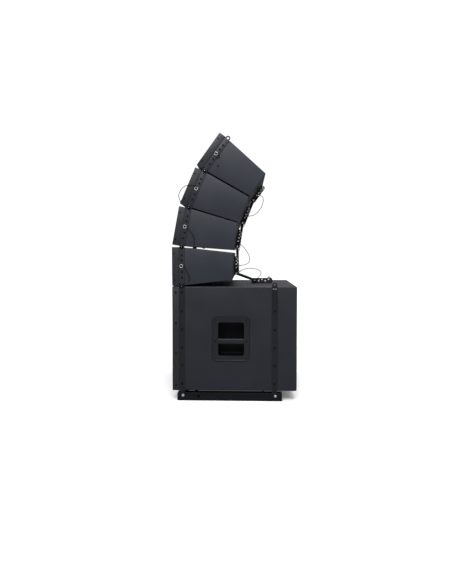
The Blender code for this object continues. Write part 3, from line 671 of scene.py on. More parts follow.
box = slab((-SIDE, sub_low.y, sub_low.z), (SIDE, sub_high.y, sub_high.z))
round_edges(box, lambda edge: centre_of(edge).y > sub_low.y + 0.001, EDGE_ROUND, 4)
grille_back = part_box("sub_grille")[1].y
tools = [slab((-SIDE + PLY, sub_low.y - 0.02, sub_low.z + PLY),
              (SIDE - PLY, BAFFLE_FRONT, sub_high.z - PLY)),
         slab((-SIDE + PLY, BAFFLE_BACK, sub_low.z + PLY),
              (SIDE - PLY, sub_high.y - 0.020, sub_high.z - PLY)),
         dowel((0, 0, WOOFER_HEIGHT), WOOFER_MOUTH_RADIUS, BAFFLE_FRONT - 0.01, BAFFLE_BACK + 0.01, 64, "Y"),
         slab((SOCKET_POCKET_LOW[0], sub_high.y - SOCKET_POCKET_DEPTH, SOCKET_POCKET_LOW[1]),
              (SOCKET_POCKET_HIGH[0], sub_high.y + 0.01, SOCKET_POCKET_HIGH[1]))]
for side in (1, -1):
    tools.append(side_slab(side, SIDE - SHEET - GAP, SIDE + 0.01,
                           sub_low.y - 0.01, grille_back + GROOVE_GAP, sub_low.z - 0.01, sub_high.z + 0.01))
    for place in (FRONT_STRAP_Y, REAR_STRAP_Y):
        tools.append(side_slab(side, STRAP_INNER - GAP, SIDE + 0.01, place - STRAP_HALF - GROOVE_GAP,
                               place + STRAP_HALF + GROOVE_GAP, sub_low.z - 0.01, sub_high.z + 0.01))
    tools.append(side_slab(side, EAR_INNER - 0.0015, SIDE + 0.01,
                           FRONT_STRAP_Y - EAR_GROOVE_HALF, FRONT_STRAP_Y + EAR_GROOVE_HALF,
                           sub_high.z - EAR_GROOVE_HEIGHT, sub_high.z + 0.01))
    tools.append(rounded_mouth(side, SIDE - 2 * PLY, 0.005, MOUTH_CORNER + 0.004))
    recess = side_slab(side, SIDE - HANDLE_RECESS, SIDE + 0.021, handle_low.y - 0.002, handle_high.y + 0.002,
                       handle_low.z - 0.002, handle_high.z + 0.002)
    round_edges(recess, lambda edge: runs_along(edge, 0), HANDLE_CORNER + 0.002, 8)
    tools.append(recess)
carve(box, *tools)
smooth(box)
finish_piece(box, "bass_cabinet", bass_paint_painted_shade, "sub", "sub_cabinet")


# ---- Bass grille: one folded tray of 2 mm steel. Its front is perforated inside a plain border,
# and its returns are screwed to the cabinet's sides. Open-cell foam is stuck behind it.
BORDER = 0.010
SUB_HOLE_PITCH = 0.0100
SUB_HOLE_RADIUS = 0.0037

grille_coat = coating("grille_coat", dark=(0.0098, 0.0106, 0.0145), light=(0.0190, 0.0202, 0.0262),
                      roughness=(0.42, 0.58), grain_size=0.0008, grain_depth=0.00005,
                      wear_and_sheen=(0.048, 0.049, 0.053), shine=0.27)
foam_cells = coating("foam_cells", dark=(0.003, 0.003, 0.003), light=(0.012, 0.012, 0.013),
                     roughness=(0.95, 1.0), grain_size=0.0022, grain_depth=0.0015)


def perforated_panel(low, high, thickness, pitch, hole_radius):
    """A flat panel facing -Y with round holes in staggered rows, trimmed to a rectangle."""
    cell = pitch / math.sqrt(3)
    bpy.ops.object.select_all(action="DESELECT")
    rings = []
    for x, z in ((0, 0), (pitch / 2, 1.5 * cell)):
        bpy.ops.mesh.primitive_circle_add(vertices=6, radius=cell, fill_type="NGON",
                                          rotation=(math.pi / 2, 0, 0))
        ring = bpy.context.object
        ring.location = (x, 0, z)
        bpy.ops.object.transform_apply(location=True, rotation=True, scale=True)
        choose(ring, "FACE", lambda face: True)
        bpy.ops.transform.rotate(value=math.pi / 6, orient_axis="Y", center_override=(x, 0, z))
        bpy.ops.mesh.inset(thickness=(cell - hole_radius) * math.cos(math.pi / 6))
        bpy.ops.mesh.delete(type="FACE")
        close_edit()
        rings.append(ring)
    panel = gather(rings)
    for axis, step, reach in ((0, pitch, high.x - low.x), (2, 3 * cell, high.z - low.z)):
        rows = panel.modifiers.new("rows", "ARRAY")
        rows.use_relative_offset = False
        rows.use_constant_offset = True
        rows.constant_offset_displace = (0, 0, 0)
        rows.constant_offset_displace[axis] = step
        rows.count = math.ceil(reach / step) + 2
        apply_modifier(panel, rows)
    panel.data.transform(Matrix.Translation((low.x - pitch, low.y, low.z - 1.5 * cell)))
    choose(panel, "VERT", lambda vertex: True)
    bpy.ops.mesh.remove_doubles(threshold=pitch * 0.01)
    for spot, normal in (((low.x, 0, 0), (-1, 0, 0)), ((high.x, 0, 0), (1, 0, 0)),
                         ((0, 0, low.z), (0, 0, -1)), ((0, 0, high.z), (0, 0, 1))):
        bpy.ops.mesh.select_all(action="SELECT")
        bpy.ops.mesh.bisect(plane_co=spot, plane_no=normal, clear_outer=True)
    bpy.ops.mesh.select_all(action="SELECT")
    bpy.ops.mesh.normals_make_consistent(inside=False)
    close_edit()
    if panel.data.polygons[0].normal.y > 0:
        panel.data.flip_normals()
    thicken(panel, thickness)
    return panel


def grille_tray(low, high, hole_pitch, hole_radius):
    """The folded tray: plain border and returns, with the perforated panel let into its front."""
    tray = slab(low, high)
    drop_faces(tray, lambda face: face.normal.y > 0.9 or abs(face.normal.z) > 0.9)
    round_edges(tray, lambda edge: runs_along(edge, 2) and centre_of(edge).y < low.y + 0.001, 0.0032, 4)
    thicken(tray, SHEET)
    window_low = Vector((low.x + BORDER, low.y, low.z + BORDER))
    window_high = Vector((high.x - BORDER, low.y, high.z - BORDER))
    carve(tray, slab(window_low - Vector((0, 0.01, 0)), window_high + Vector((0, 0.01, 0))))
    ease_edges(tray, 0.0005)
    smooth(tray)
    panel = perforated_panel(window_low, window_high, SHEET * 0.8, hole_pitch, hole_radius)
    panel.data.transform(Matrix.Translation((0, 0.0002, 0)))
    return gather([tray, panel])


sub_tray = grille_tray(*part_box("sub_grille"), SUB_HOLE_PITCH, SUB_HOLE_RADIUS)
finish_piece(sub_tray, "bass_grille", grille_coat, "sub", "sub_grille")


def foam_sheet(low, high):
    """The foam behind a grille, a little softer at its edges."""
    foam = slab((low.x + 0.006, low.y + 0.0045, low.z + 0.006),
                (high.x - 0.006, low.y + 0.0095, high.z - 0.006))
    round_edges(foam, lambda edge: True, 0.0015, 2)
    return smooth(foam)


finish_piece(foam_sheet(*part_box("sub_grille")), "bass_grille_foam", foam_cells, "sub")

black_screw = coating("black_screw", dark=(0.0010, 0.0010, 0.0014), light=(0.0030, 0.0030, 0.0036),
                      roughness=(0.35, 0.50), grain_size=0.0005, grain_depth=0.00002, shine=0.08)
screws = [socket_bolt((0, grille_back - 0.017, height), 0.0050, SIDE + 0.0022, 0.0022, 28)
          for height in (0.603, 0.432, 0.265, 0.087)]
screws += [mirrored(screw) for screw in screws]
finish_piece(gather(screws), "bass_grille_screws", black_screw, "sub")


# ---- Bass driver: an 18 inch driver with a pressed steel basket and a black paper cone, bolted to
# the baffle. It is hidden behind the foam, so the frame's own shapes are kept and only coated.
driver_steel = coating("driver_steel", dark=(0.010, 0.010, 0.011), light=(0.020, 0.020, 0.021),
                       roughness=(0.35, 0.5), grain_size=0.0007, grain_depth=0.00005)
cone_paper = coating("cone_paper", dark=(0.010, 0.0095, 0.009), light=(0.022, 0.021, 0.020),
                     roughness=(0.75, 0.9), grain_size=0.0016, grain_depth=0.0002)


def coat_node(name, material):
    """Gives a piece of the frame itself its finish."""
    coats = frame["nodes"][name].data.materials
    coats.clear()
    coats.append(material)


coat_node("sub_woofer_frame", driver_steel)
coat_node("sub_cone", cone_paper)


# ---- Bass cabinet straps: 30 by 6 mm flat steel bar, bolted flush in grooves down each side. Each
# top narrows into a round lug with the hinge hole, each foot drops into the skid's rail. Two dull
# steel rivets go through the top of each rear strap.
LUG_RADIUS = 0.013
PIN_HOLE_RADIUS = 0.0062
BOLT_HEIGHTS = (0.604, 0.499, 0.397, 0.296, 0.196, 0.095)
RIVET_HEIGHT = 0.622


def flat_strap(centre_y, foot_z, lug_z):
    """A right-hand strap from its square foot to the top of its round lug."""
    bar = slab((STRAP_INNER, centre_y - STRAP_HALF, foot_z),
               (SIDE, centre_y + STRAP_HALF, lug_z - LUG_RADIUS))
    choose(bar, "FACE", lambda face: face.normal.z > 0.9)
    bpy.ops.mesh.extrude_region_move(TRANSFORM_OT_translate={"value": (0, 0, 0.004)})
    bpy.ops.transform.resize(value=(1, LUG_RADIUS / STRAP_HALF, 1), center_override=(SIDE, centre_y, lug_z))
    bpy.ops.mesh.extrude_region_move(TRANSFORM_OT_translate={"value": (0, 0, 2 * LUG_RADIUS - 0.004)})
    close_edit()
    round_edges(bar, lambda edge: runs_along(edge, 0) and centre_of(edge).z > lug_z + LUG_RADIUS - 0.001,
                LUG_RADIUS - 0.00002, 10)
    carve(bar, dowel((0, centre_y, lug_z), PIN_HOLE_RADIUS, STRAP_INNER - 0.01, SIDE + 0.01))
    return bar


strap_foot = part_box("sub_strap_front_right")[0].z
rear_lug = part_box("sub_strap_rear_right")[1].z - LUG_RADIUS
for title, place, lug_z in (("front", FRONT_STRAP_Y, hinges[1].z), ("rear", REAR_STRAP_Y, rear_lug)):
    strap = flat_strap(place, strap_foot, lug_z)
    carve(strap, dowel((0, place + SKID_PIN_SHIFT, SKID_PIN_HEIGHT), SKID_PIN_RADIUS + 0.0010,
                       STRAP_INNER - 0.01, SIDE + 0.01))
    ease_edges(strap, 0.0007)
    smooth(strap)
    heights = BOLT_HEIGHTS[1:] if title == "rear" else BOLT_HEIGHTS
    bolts = gather([socket_bolt((0, place, height), 0.0058, SIDE + 0.0016, 0.0016, 28) for height in heights])
    for side, word in ((1, "right"), (-1, "left")):
        bar = strap if side > 0 else mirrored(strap)
        finish_piece(bar, f"bass_strap_{title}_{word}", powder_coat, "sub",
                     f"sub_strap_{title}_{word}")
        row = bolts if side > 0 else mirrored(bolts)
        finish_piece(row, f"bass_strap_bolts_{title}_{word}", black_screw, "sub")

dull_steel = coating("dull_steel", dark=(0.20, 0.20, 0.21), light=(0.32, 0.32, 0.34),
                     roughness=(0.40, 0.55), grain_size=0.0006, grain_depth=0.00003, metallic=0.5)
rivets = []
for shift in (-0.006, 0.006):
    rivet = dowel((0, REAR_STRAP_Y + shift, RIVET_HEIGHT), 0.0040, SIDE - 0.002, SIDE + 0.0018, 24)
    round_rim(rivet, 0, 1, 0, 0.0012)
    rivets.append(smooth(rivet))
rivets += [mirrored(rivet) for rivet in rivets]
finish_piece(gather(rivets), "bass_strap_rivets", dull_steel, "sub")


# ---- Bar handles: one moulded black plastic cup let into each side, with a bar across its mouth and
# a raised rim around its plate. Its inside is painted near black as shade in the deep pocket. Small
# screws hold the plate to the wood, over a thin gasket painted near black as the shade of the gap
# round the plate.
CUP_FLOOR = 0.238
CUP_WALL = 0.004
BAR_LOW, BAR_HIGH = 0.317, 0.346
BAR_DEPTH = 0.021
BAR_ROUND = 0.0065
GASKET_EDGE = 0.0018

moulded_black = coating("moulded_black", dark=(0.0068, 0.0074, 0.0102), light=(0.0135, 0.0145, 0.0185),
                        roughness=(0.38, 0.50), grain_size=0.0006, grain_depth=0.00009, shine=0.24)
# A near-black copy of the moulding for the inside of the cup: painted shade in its deep pocket.
cup_painted_shade = coating("cup_painted_shade", dark=(0.0012, 0.0012, 0.0016), light=(0.0030, 0.0030, 0.0038),
                    roughness=(0.50, 0.65), grain_size=0.0006, grain_depth=0.00009, shine=0.10)
# Near black, darker than any other part: painted shade for the gap round the handle plate.
gasket_painted_shade = coating("gasket_painted_shade", dark=(0.0005, 0.0005, 0.0007), light=(0.0012, 0.0012, 0.0015),
                       roughness=(0.70, 0.85), grain_size=0.0008, grain_depth=0.00005, shine=0.05)

handle = rounded_slab((SIDE + GAP, handle_low.y, handle_low.z),
                      (handle_high.x + 0.0006, handle_high.y, handle_high.z), 0, HANDLE_CORNER, 8)
choose(handle, "FACE", lambda face: face.normal.x > 0.9)
bpy.ops.mesh.inset(thickness=0.0055)
bpy.ops.mesh.inset(thickness=0.0012)
bpy.ops.transform.translate(value=(-0.0014, 0, 0))
close_edit()
cup = rounded_slab((CUP_FLOOR - CUP_WALL, MOUTH_FRONT - CUP_WALL, MOUTH_LOW - CUP_WALL),
                   (SIDE + 0.0011, MOUTH_BACK + CUP_WALL, MOUTH_HIGH + CUP_WALL), 0, MOUTH_CORNER + 0.003, 5)
pocket = slab((CUP_FLOOR, MOUTH_FRONT, MOUTH_LOW), (SIDE + 0.02, MOUTH_BACK, MOUTH_HIGH))
round_edges(pocket, lambda edge: runs_along(edge, 0) or centre_of(edge).x < CUP_FLOOR + 0.001,
            MOUTH_CORNER, 5)
bar = rounded_slab((SIDE - BAR_DEPTH, MOUTH_FRONT - 0.002, BAR_LOW),
                   (SIDE + 0.0011, MOUTH_BACK + 0.002, BAR_HIGH), 1, BAR_ROUND, 4)
weld(handle, cup)
carve(handle, pocket)
weld(handle, bar)
ease_edges(handle, 0.0016, 3, 40)
smooth(handle)
handle_screws = []
for depth in (handle_low.y + 0.017, handle_high.y - 0.016):
    for level in (handle_low.z + 0.016, handle_high.z - 0.016, (BAR_LOW + BAR_HIGH) / 2):
        handle_screws.append(socket_bolt((0, depth, level), 0.0040, SIDE + 0.0030, 0.0022, 24))
handle_screws = gather(handle_screws)
for side, word in ((1, "right"), (-1, "left")):
    cup = handle if side > 0 else mirrored(handle)
    finish_piece(cup, f"bar_handle_{word}", moulded_black, "sub", f"sub_handle_{word}")
    # The faces inside the cup take the painted shade.
    cup.data.materials.append(cup_painted_shade)
    for face in cup.data.polygons:
        if CUP_FLOOR - 0.001 < abs(face.center.x) < SIDE - BAR_DEPTH - 0.001:
            face.material_index = 1
    row = handle_screws if side > 0 else mirrored(handle_screws)
    finish_piece(row, f"handle_screws_{word}", black_screw, "sub")

# The gasket shows only as a thin near-black line round the plate: painted shade for the gap.
gasket = rounded_slab((SIDE - 0.0028, handle_low.y - GASKET_EDGE, handle_low.z - GASKET_EDGE),
                      (SIDE + 0.0001, handle_high.y + GASKET_EDGE, handle_high.z + GASKET_EDGE),
                      0, HANDLE_CORNER + GASKET_EDGE, 8)
carve(gasket, slab((SIDE - 0.01, MOUTH_FRONT - 0.0045, MOUTH_LOW - 0.0045),
                   (SIDE + 0.01, MOUTH_BACK + 0.0045, MOUTH_HIGH + 0.0045)))
finish_piece(mirrored(gasket), "handle_gasket_left", gasket_painted_shade, "sub")
finish_piece(gasket, "handle_gasket_right", gasket_painted_shade, "sub")


# ---- Cable sockets: a black steel plate let into the back of the bass cabinet with three locking
# speaker sockets, moulded black with a keyed middle post, and a blank grey marking strip.
SOCKET_RADIUS = 0.012
SOCKET_SHIFTS = (-0.060, 0, 0.060)

marking_grey = coating("marking_grey", dark=(0.16, 0.16, 0.17), light=(0.20, 0.20, 0.21),
                       roughness=(0.5, 0.6), grain_size=0.0008, grain_depth=0.00003)


def speaker_socket(x, z, face_y):
    """A round locking socket with a square flange, facing backwards, its flange on a plate's face."""
    flange = rounded_slab((x - 0.0145, face_y, z - 0.0145), (x + 0.0145, face_y + 0.0016, z + 0.0145),
                          1, 0.003, 3)
    body = dowel((x, 0, z), SOCKET_RADIUS - 0.0003, face_y - 0.016, face_y + 0.0024, 40, "Y")
    weld(flange, body)
    carve(flange, dowel((x, 0, z), 0.0098, face_y - 0.014, face_y + 0.01, 40, "Y"))
    weld(flange, dowel((x, 0, z), 0.0048, face_y - 0.0145, face_y + 0.0008, 24, "Y"))
    carve(flange, slab((x - 0.0012, face_y - 0.010, z + 0.003), (x + 0.0012, face_y + 0.01, z + 0.0113)))
    ease_edges(flange, 0.0004)
    return smooth(flange)


def back_screw(x, z, face_y, radius=0.0032):
    """A small round-headed cross screw on a plate that faces backwards."""
    head = dowel((x, 0, z), radius, face_y - 0.002, face_y + 0.0014, 24, "Y")
    round_rim(head, 1, 1, face_y, radius * 0.38)
    for across, tall in ((radius * 0.62, radius * 0.14), (radius * 0.14, radius * 0.62)):
        carve(head, slab((x - across, face_y + 0.0006, z - tall), (x + across, face_y + 0.003, z + tall)))
    return smooth(head)


plate_low, plate_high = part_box("sub_connector_plate")
middle_z = (plate_low.z + plate_high.z) / 2
plate = rounded_slab(plate_low, plate_high, 1, 0.006, 4)
for shift in SOCKET_SHIFTS:
    carve(plate, dowel((0, 0, middle_z + shift), SOCKET_RADIUS, plate_low.y - 0.01, plate_high.y + 0.01,
                       40, "Y"))
ease_edges(plate, 0.0005)
smooth(plate)
finish_piece(plate, "socket_plate", powder_coat, "sub", "sub_connector_plate")
sockets = [speaker_socket(0, middle_z + shift, plate_high.y) for shift in SOCKET_SHIFTS]
finish_piece(gather(sockets), "bass_sockets", moulded_black, "sub")
plate_screws = [back_screw(x, z, plate_high.y) for x in (plate_low.x + 0.008, plate_high.x - 0.008)
                for z in (plate_low.z + 0.008, middle_z, plate_high.z - 0.008)]
finish_piece(gather(plate_screws), "socket_plate_screws", zinc_plate, "sub")
strip = rounded_slab((0.026, plate_high.y - 0.0005, middle_z - 0.070),
                     (0.062, plate_high.y + 0.0004, middle_z + 0.070), 1, 0.002, 3)
finish_piece(strip, "socket_marking_strip", marking_grey, "sub")


# ---- Array cabinets: four alike, glued from 12 and 18 mm birch plywood. The front part is square
# and the back tapers, so they can close up when the column curves. Same paint as the bass cabinet,
# which has a darker copy of it as painted shade.
MODULE_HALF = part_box("array_grille_1")[1].z - MIDDLE_HEIGHT
MODULE_DEPTH = 0.335
TAPER_START = 0.040
TAPER = math.radians(6.25)
REAR_HALF = MODULE_HALF - (MODULE_DEPTH - TAPER_START) * math.tan(TAPER)
BAFFLE = (0.032, 0.047)
STRAP_Y = hinges[1].y
CABINET_ROUND = 0.0032
THIN_PLY = 0.012
MID_DRIVER_X = 0.190
MID_MOUTH_RADIUS = 0.074
PAST_TOP = 0.13

textured_paint = coating("textured_paint", dark=(0.0122, 0.0140, 0.0212), light=(0.0238, 0.0266, 0.0368),
                         roughness=(0.48, 0.64), grain_size=0.0011, grain_depth=0.00020,
                         wear_and_sheen=(0.050, 0.050, 0.052))


def module_box(x, front, back, low, high):
    """A block on the lowest array cabinet: half width, depths behind the front, heights above the middle."""
    return slab(on_lowest(-x, front, low), on_lowest(x, back, high))


def on_every_cabinet(piece, title, material, node=None, numbers=(1, 2, 3, 4)):
    """Puts a copy of a piece that was made on the lowest array cabinet on each of the four."""
    for number in numbers:
        twin = duplicate(piece)
        twin.data.transform(module_matrix(number))
        finish_piece(twin, f"{title}_{number}", material, f"module_{number}",
                     node and f"{node}_{number}")
    bpy.data.objects.remove(piece, do_unlink=True)


def tapered_box(x, front, back, half, rear_half):
    """A block whose back end is lower than its front."""
    block = module_box(x, front, back, -half, half)
    choose(block, "FACE", lambda face: face.normal.y > 0.9)
    bpy.ops.transform.resize(value=(1, 1, rear_half / half), center_override=on_lowest(0, back, 0))
    close_edit()
    return block


body = module_box(SIDE, SHEET + GAP, TAPER_START, -MODULE_HALF, MODULE_HALF)
choose(body, "FACE", lambda face: face.normal.y > 0.9)
bpy.ops.mesh.extrude_region_move(TRANSFORM_OT_translate={"value": (0, MODULE_DEPTH - TAPER_START, 0)})
bpy.ops.transform.resize(value=(1, 1, REAR_HALF / MODULE_HALF), center_override=on_lowest(0, MODULE_DEPTH, 0))
close_edit()
round_edges(body, lambda edge: centre_of(edge).y > FRONT + 0.010
            and not (runs_along(edge, 0) and centre_of(edge).y < FRONT + 0.060)
            and not (runs_along(edge, 2) and centre_of(edge).y < FRONT + 0.060), CABINET_ROUND, 3)
inner = MODULE_HALF - THIN_PLY
tools = [tapered_box(SIDE - PLY, BAFFLE[1], MODULE_DEPTH - THIN_PLY, inner, REAR_HALF - THIN_PLY),
         module_box(SIDE - PLY, -0.010, BAFFLE[0], -inner, inner),
         module_box(0.062, BAFFLE[0] - 0.01, BAFFLE[1] + 0.01, -0.085, 0.085)]
strap_groove = STRAP_HALF + GROOVE_GAP
for side in (1, -1):
    tools.append(dowel((side * MID_DRIVER_X, 0, MIDDLE_HEIGHT), MID_MOUTH_RADIUS,
                       FRONT + BAFFLE[0] - 0.01, FRONT + BAFFLE[1] + 0.01, 48, "Y"))
    for low_x, high_x, low_y, high_y, low, high in (
            (SIDE - SHEET - GAP, SIDE + 0.01, FRONT - 0.01, FRONT + 0.0375 + GROOVE_GAP, -PAST_TOP, PAST_TOP),
            (STRAP_INNER - GAP, SIDE + 0.01, STRAP_Y - strap_groove, STRAP_Y + strap_groove,
             -PAST_TOP, PAST_TOP),
            (EAR_INNER - 0.0015, SIDE + 0.012, STRAP_Y - EAR_GROOVE_HALF, STRAP_Y + EAR_GROOVE_HALF,
             MODULE_HALF - EAR_GROOVE_HEIGHT, PAST_TOP + 0.001),
            (EAR_INNER - 0.0007, STRAP_INNER + 0.002, STRAP_Y - 0.0145, STRAP_Y + 0.0145,
             -PAST_TOP - 0.001, -0.057),
            (EAR_INNER - 0.0015, SIDE + 0.012, STRAP_Y - EAR_GROOVE_HALF, STRAP_Y + EAR_GROOVE_HALF,
             -PAST_TOP - 0.002, EAR_GROOVE_HEIGHT - MODULE_HALF)):
        tools.append(side_slab(side, low_x, high_x, low_y, high_y, MIDDLE_HEIGHT + low, MIDDLE_HEIGHT + high))
carve(body, *tools)
smooth(body)
on_every_cabinet(body, "plywood_cabinet", textured_paint, "array_cabinet")


# ---- Array drivers: two 6.5 inch mid drivers and a moulded treble waveguide in each cabinet, behind
# the foam. The frame's own shapes are kept and only coated.
for number in range(1, 5):
    coat_node(f"woofer_left_{number}", driver_steel)
    coat_node(f"woofer_right_{number}", driver_steel)
    coat_node(f"waveguide_{number}", moulded_black)


# ---- Array grilles: the same folded steel tray as the bass grille with a finer hole pattern, held by
# two black screws through each return. Foam behind.
MODULE_HOLE_PITCH = 0.0086
MODULE_HOLE_RADIUS = 0.0032

grille_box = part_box("array_grille_1")
on_every_cabinet(grille_tray(*grille_box, MODULE_HOLE_PITCH, MODULE_HOLE_RADIUS), "perforated_grille",
                 grille_coat, "array_grille")
on_every_cabinet(foam_sheet(*grille_box), "grille_foam", foam_cells)
screws = [socket_bolt(on_lowest(0, 0.013, height), 0.0042, SIDE + 0.0020, 0.0020, 24)
          for height in (-0.075, 0.075)]
screws += [mirrored(screw) for screw in screws]
on_every_cabinet(gather(screws), "grille_screws", black_screw)


# ---- Array straps: 30 by 6 mm steel bar with a lug at the top. A flat ear is welded behind its foot
# and carries the hinge pin, which goes through the lug of the strap below and ends in a black knob.
EAR_OUTER = 0.2935
PIN_RADIUS = 0.0057
KNOB_RADIUS = 0.0100

knob_black = coating("knob_black", dark=(0.0008, 0.0008, 0.0010), light=(0.0020, 0.0020, 0.0024),
                     roughness=(0.28, 0.40), grain_size=0.0006, grain_depth=0.00003, shine=0.07)
strap_coat = coating("strap_coat", dark=(0.0110, 0.0128, 0.0185), light=(0.0215, 0.0240, 0.0315),
                     roughness=(0.38, 0.52), grain_size=0.0009, grain_depth=0.00006,
                     wear_and_sheen=(0.060, 0.062, 0.070), shine=0.28)
bar = flat_strap(STRAP_Y, hinges[1].z + 0.015, hinges[1].z + PITCH)
ease_edges(bar, 0.0007)
ear = slab((EAR_INNER, STRAP_Y - LUG_RADIUS, hinges[1].z - LUG_RADIUS),
           (EAR_OUTER, STRAP_Y + LUG_RADIUS, hinges[1].z + 0.050))
round_edges(ear, lambda edge: runs_along(edge, 0) and centre_of(edge).z < hinges[1].z,
            LUG_RADIUS - 0.00002, 10)
ease_edges(ear, 0.0006)
pad = slab((EAR_OUTER - 0.001, STRAP_Y - 0.012, hinges[1].z + 0.018),
           (STRAP_INNER + 0.001, STRAP_Y + 0.012, hinges[1].z + 0.047))
strap = gather([smooth(bar), smooth(ear), pad])
pin = dowel(hinges[1], PIN_RADIUS, EAR_INNER + 0.002, SIDE + 0.001)
knob = dowel(hinges[1], KNOB_RADIUS, SIDE + GAP, SIDE + 0.0060, 40)
round_rim(knob, 0, 1, SIDE + 0.005, 0.0022, 4)
carve(knob, dowel(hinges[1], 0.0030, SIDE + 0.0048, SIDE + 0.010))
knob = gather([smooth(knob), smooth(pin)])
dot = dowel(hinges[1], 0.0021, SIDE + 0.0040, SIDE + 0.0058, 24)
round_rim(dot, 0, 1, SIDE + 0.005, 0.0012)
smooth(dot)
bolts = gather([socket_bolt(on_lowest(0, HINGE_DEPTH, height), 0.0052, SIDE + 0.0015, 0.0015, 24)
                for height in (-0.062, -0.030, 0.034, 0.062)])
for side, word in ((1, "right"), (-1, "left")):
    for piece, title, material, slot, node in (
            (strap, "strap", strap_coat, "rigging_paint", f"strap_{word}"),
            (knob, "hinge_knob", knob_black, "moulded_plastic", None),
            (dot, "hinge_pin_end", zinc_plate, "zinc", None),
            (bolts, "strap_bolts", black_screw, "driver_steel", None)):
        copy = duplicate(piece) if side > 0 else mirrored(piece)
        on_every_cabinet(copy, f"{title}_{word}", material, node)
for piece in (strap, knob, dot, bolts):
    bpy.data.objects.remove(piece, do_unlink=True)


# ---- Ring pins: a bright spring-steel ring on each right and left strap, lying flat against it, on
# a short black pin that locks the strap in the cabinet's side.
RING_RADIUS = 0.0082
RING_WIRE = 0.0011
RING_PLACE = (0.0515, 0.0025)

ring_steel = coating("ring_steel", dark=(0.62, 0.62, 0.64), light=(0.80, 0.80, 0.82),
                     roughness=(0.38, 0.52), grain_size=0.0006, grain_depth=0.00002, metallic=0.5)

bpy.ops.object.select_all(action="DESELECT")
bpy.ops.mesh.primitive_torus_add(major_segments=40, minor_segments=10,
                                 major_radius=RING_RADIUS, minor_radius=RING_WIRE,
                                 rotation=(0, math.pi / 2, 0),
                                 location=on_lowest(SIDE + RING_WIRE, *RING_PLACE))
bpy.ops.object.transform_apply(location=True, rotation=True, scale=True)
ring = smooth(bpy.context.object, 60)
stem = dowel(on_lowest(0, *RING_PLACE), 0.0048, SIDE - 0.002, SIDE + 0.0022, 28)
round_rim(stem, 0, 1, SIDE + 0.001, 0.0010)
smooth(stem)
for piece, title, material, slot in ((ring, "pull_ring", ring_steel, "zinc"),
                                     (stem, "ring_pin", black_screw, "driver_steel")):
    on_every_cabinet(mirrored(piece), f"{title}_left", material)
    on_every_cabinet(piece, f"{title}_right", material)


# ---- Rear brackets: folded 4 mm steel channels bolted to the back of each array cabinet, with two
# rows of angle holes in bright pressed-in bushings. A bright pivot bolt on each side carries the
# fork of a link.
BRACKET_INNER = 0.0105
BRACKET_OUTER = 0.0145
BRACKET_TIP = MODULE_DEPTH + 0.028
ANGLE_HOLE_RADIUS = 0.0045
PIVOT_RADIUS = 0.0035
LOCK_HOLE_RADIUS = 0.0041
PIVOT_PLACE = (0.349, -0.052)
LOCK_PLACE = (0.3575, -0.007)
ANGLE_HOLES = [(0.349, height) for height in (0.045, 0.025, 0.004, -0.016)]
ANGLE_HOLES += [(0.3575, height) for height in (0.035, 0.014)]


def drill(piece, places, radius, reach=0.03):
    """Round holes through a piece, right across."""
    return carve(piece, *[dowel(place, radius, -reach, reach, 24) for place in places])


base = module_box(BRACKET_OUTER, MODULE_DEPTH + GAP, MODULE_DEPTH + GAP + 0.004, -0.060, 0.054)
bracket_y = FRONT + BRACKET_TIP
for side in (1, -1):
    plate = side_slab(side, BRACKET_INNER, BRACKET_OUTER, FRONT + MODULE_DEPTH + GAP + 0.0001, bracket_y,
                      MIDDLE_HEIGHT - 0.0599, MIDDLE_HEIGHT + 0.0539)
    round_edges(plate, lambda edge: runs_along(edge, 0) and centre_of(edge).y > bracket_y - 0.001, 0.009, 4)
    weld(base, plate)
drill(base, [on_lowest(0, *place) for place in ANGLE_HOLES], ANGLE_HOLE_RADIUS)
drill(base, [on_lowest(0, *LOCK_PLACE)], LOCK_HOLE_RADIUS)
ease_edges(base, 0.0006)
smooth(base)
on_every_cabinet(base, "rear_channel", powder_coat, "rear_bracket")


def bushings(places):
    """Bright pressed-in bushings around angle holes, on both outer faces of a bracket."""
    rings = []
    for place in places:
        ring = dowel(place, ANGLE_HOLE_RADIUS + 0.0002, BRACKET_OUTER - 0.003, BRACKET_OUTER + 0.0007, 28)
        round_rim(ring, 0, 1, BRACKET_OUTER, 0.0005, 2)
        carve(ring, dowel(place, 0.0021, BRACKET_OUTER - 0.01, BRACKET_OUTER + 0.01, 20))
        rings.append(smooth(ring))
    return gather(rings + [mirrored(ring) for ring in rings])


angle_rings = bushings([on_lowest(0, *place) for place in ANGLE_HOLES])
on_every_cabinet(angle_rings, "bracket_bushings", ring_steel)
pivot = on_lowest(0, *PIVOT_PLACE)
shaft = smooth(dowel(pivot, PIVOT_RADIUS, 0.006, BRACKET_OUTER, 24))
head = dowel(pivot, 0.006, BRACKET_OUTER + 0.0001, BRACKET_OUTER + 0.004)
round_rim(head, 0, 1, BRACKET_OUTER + 0.003, 0.0014)
carve(head, dowel(pivot, 0.0028, BRACKET_OUTER + 0.002, BRACKET_OUTER + 0.01, 6))
pivots = [shaft, smooth(head)]
pivots += [mirrored(piece) for piece in pivots]
on_every_cabinet(gather(pivots), "pivot_bolts", zinc_plate)


# ---- Bass cabinet bracket: two upright steel plates on a base plate on the bass cabinet's top, with
# angle holes for the lowest link.
SUB_LOCK_PLACE = Vector((0, 0.1167, 0.653))
BASE_FRONT = 0.142

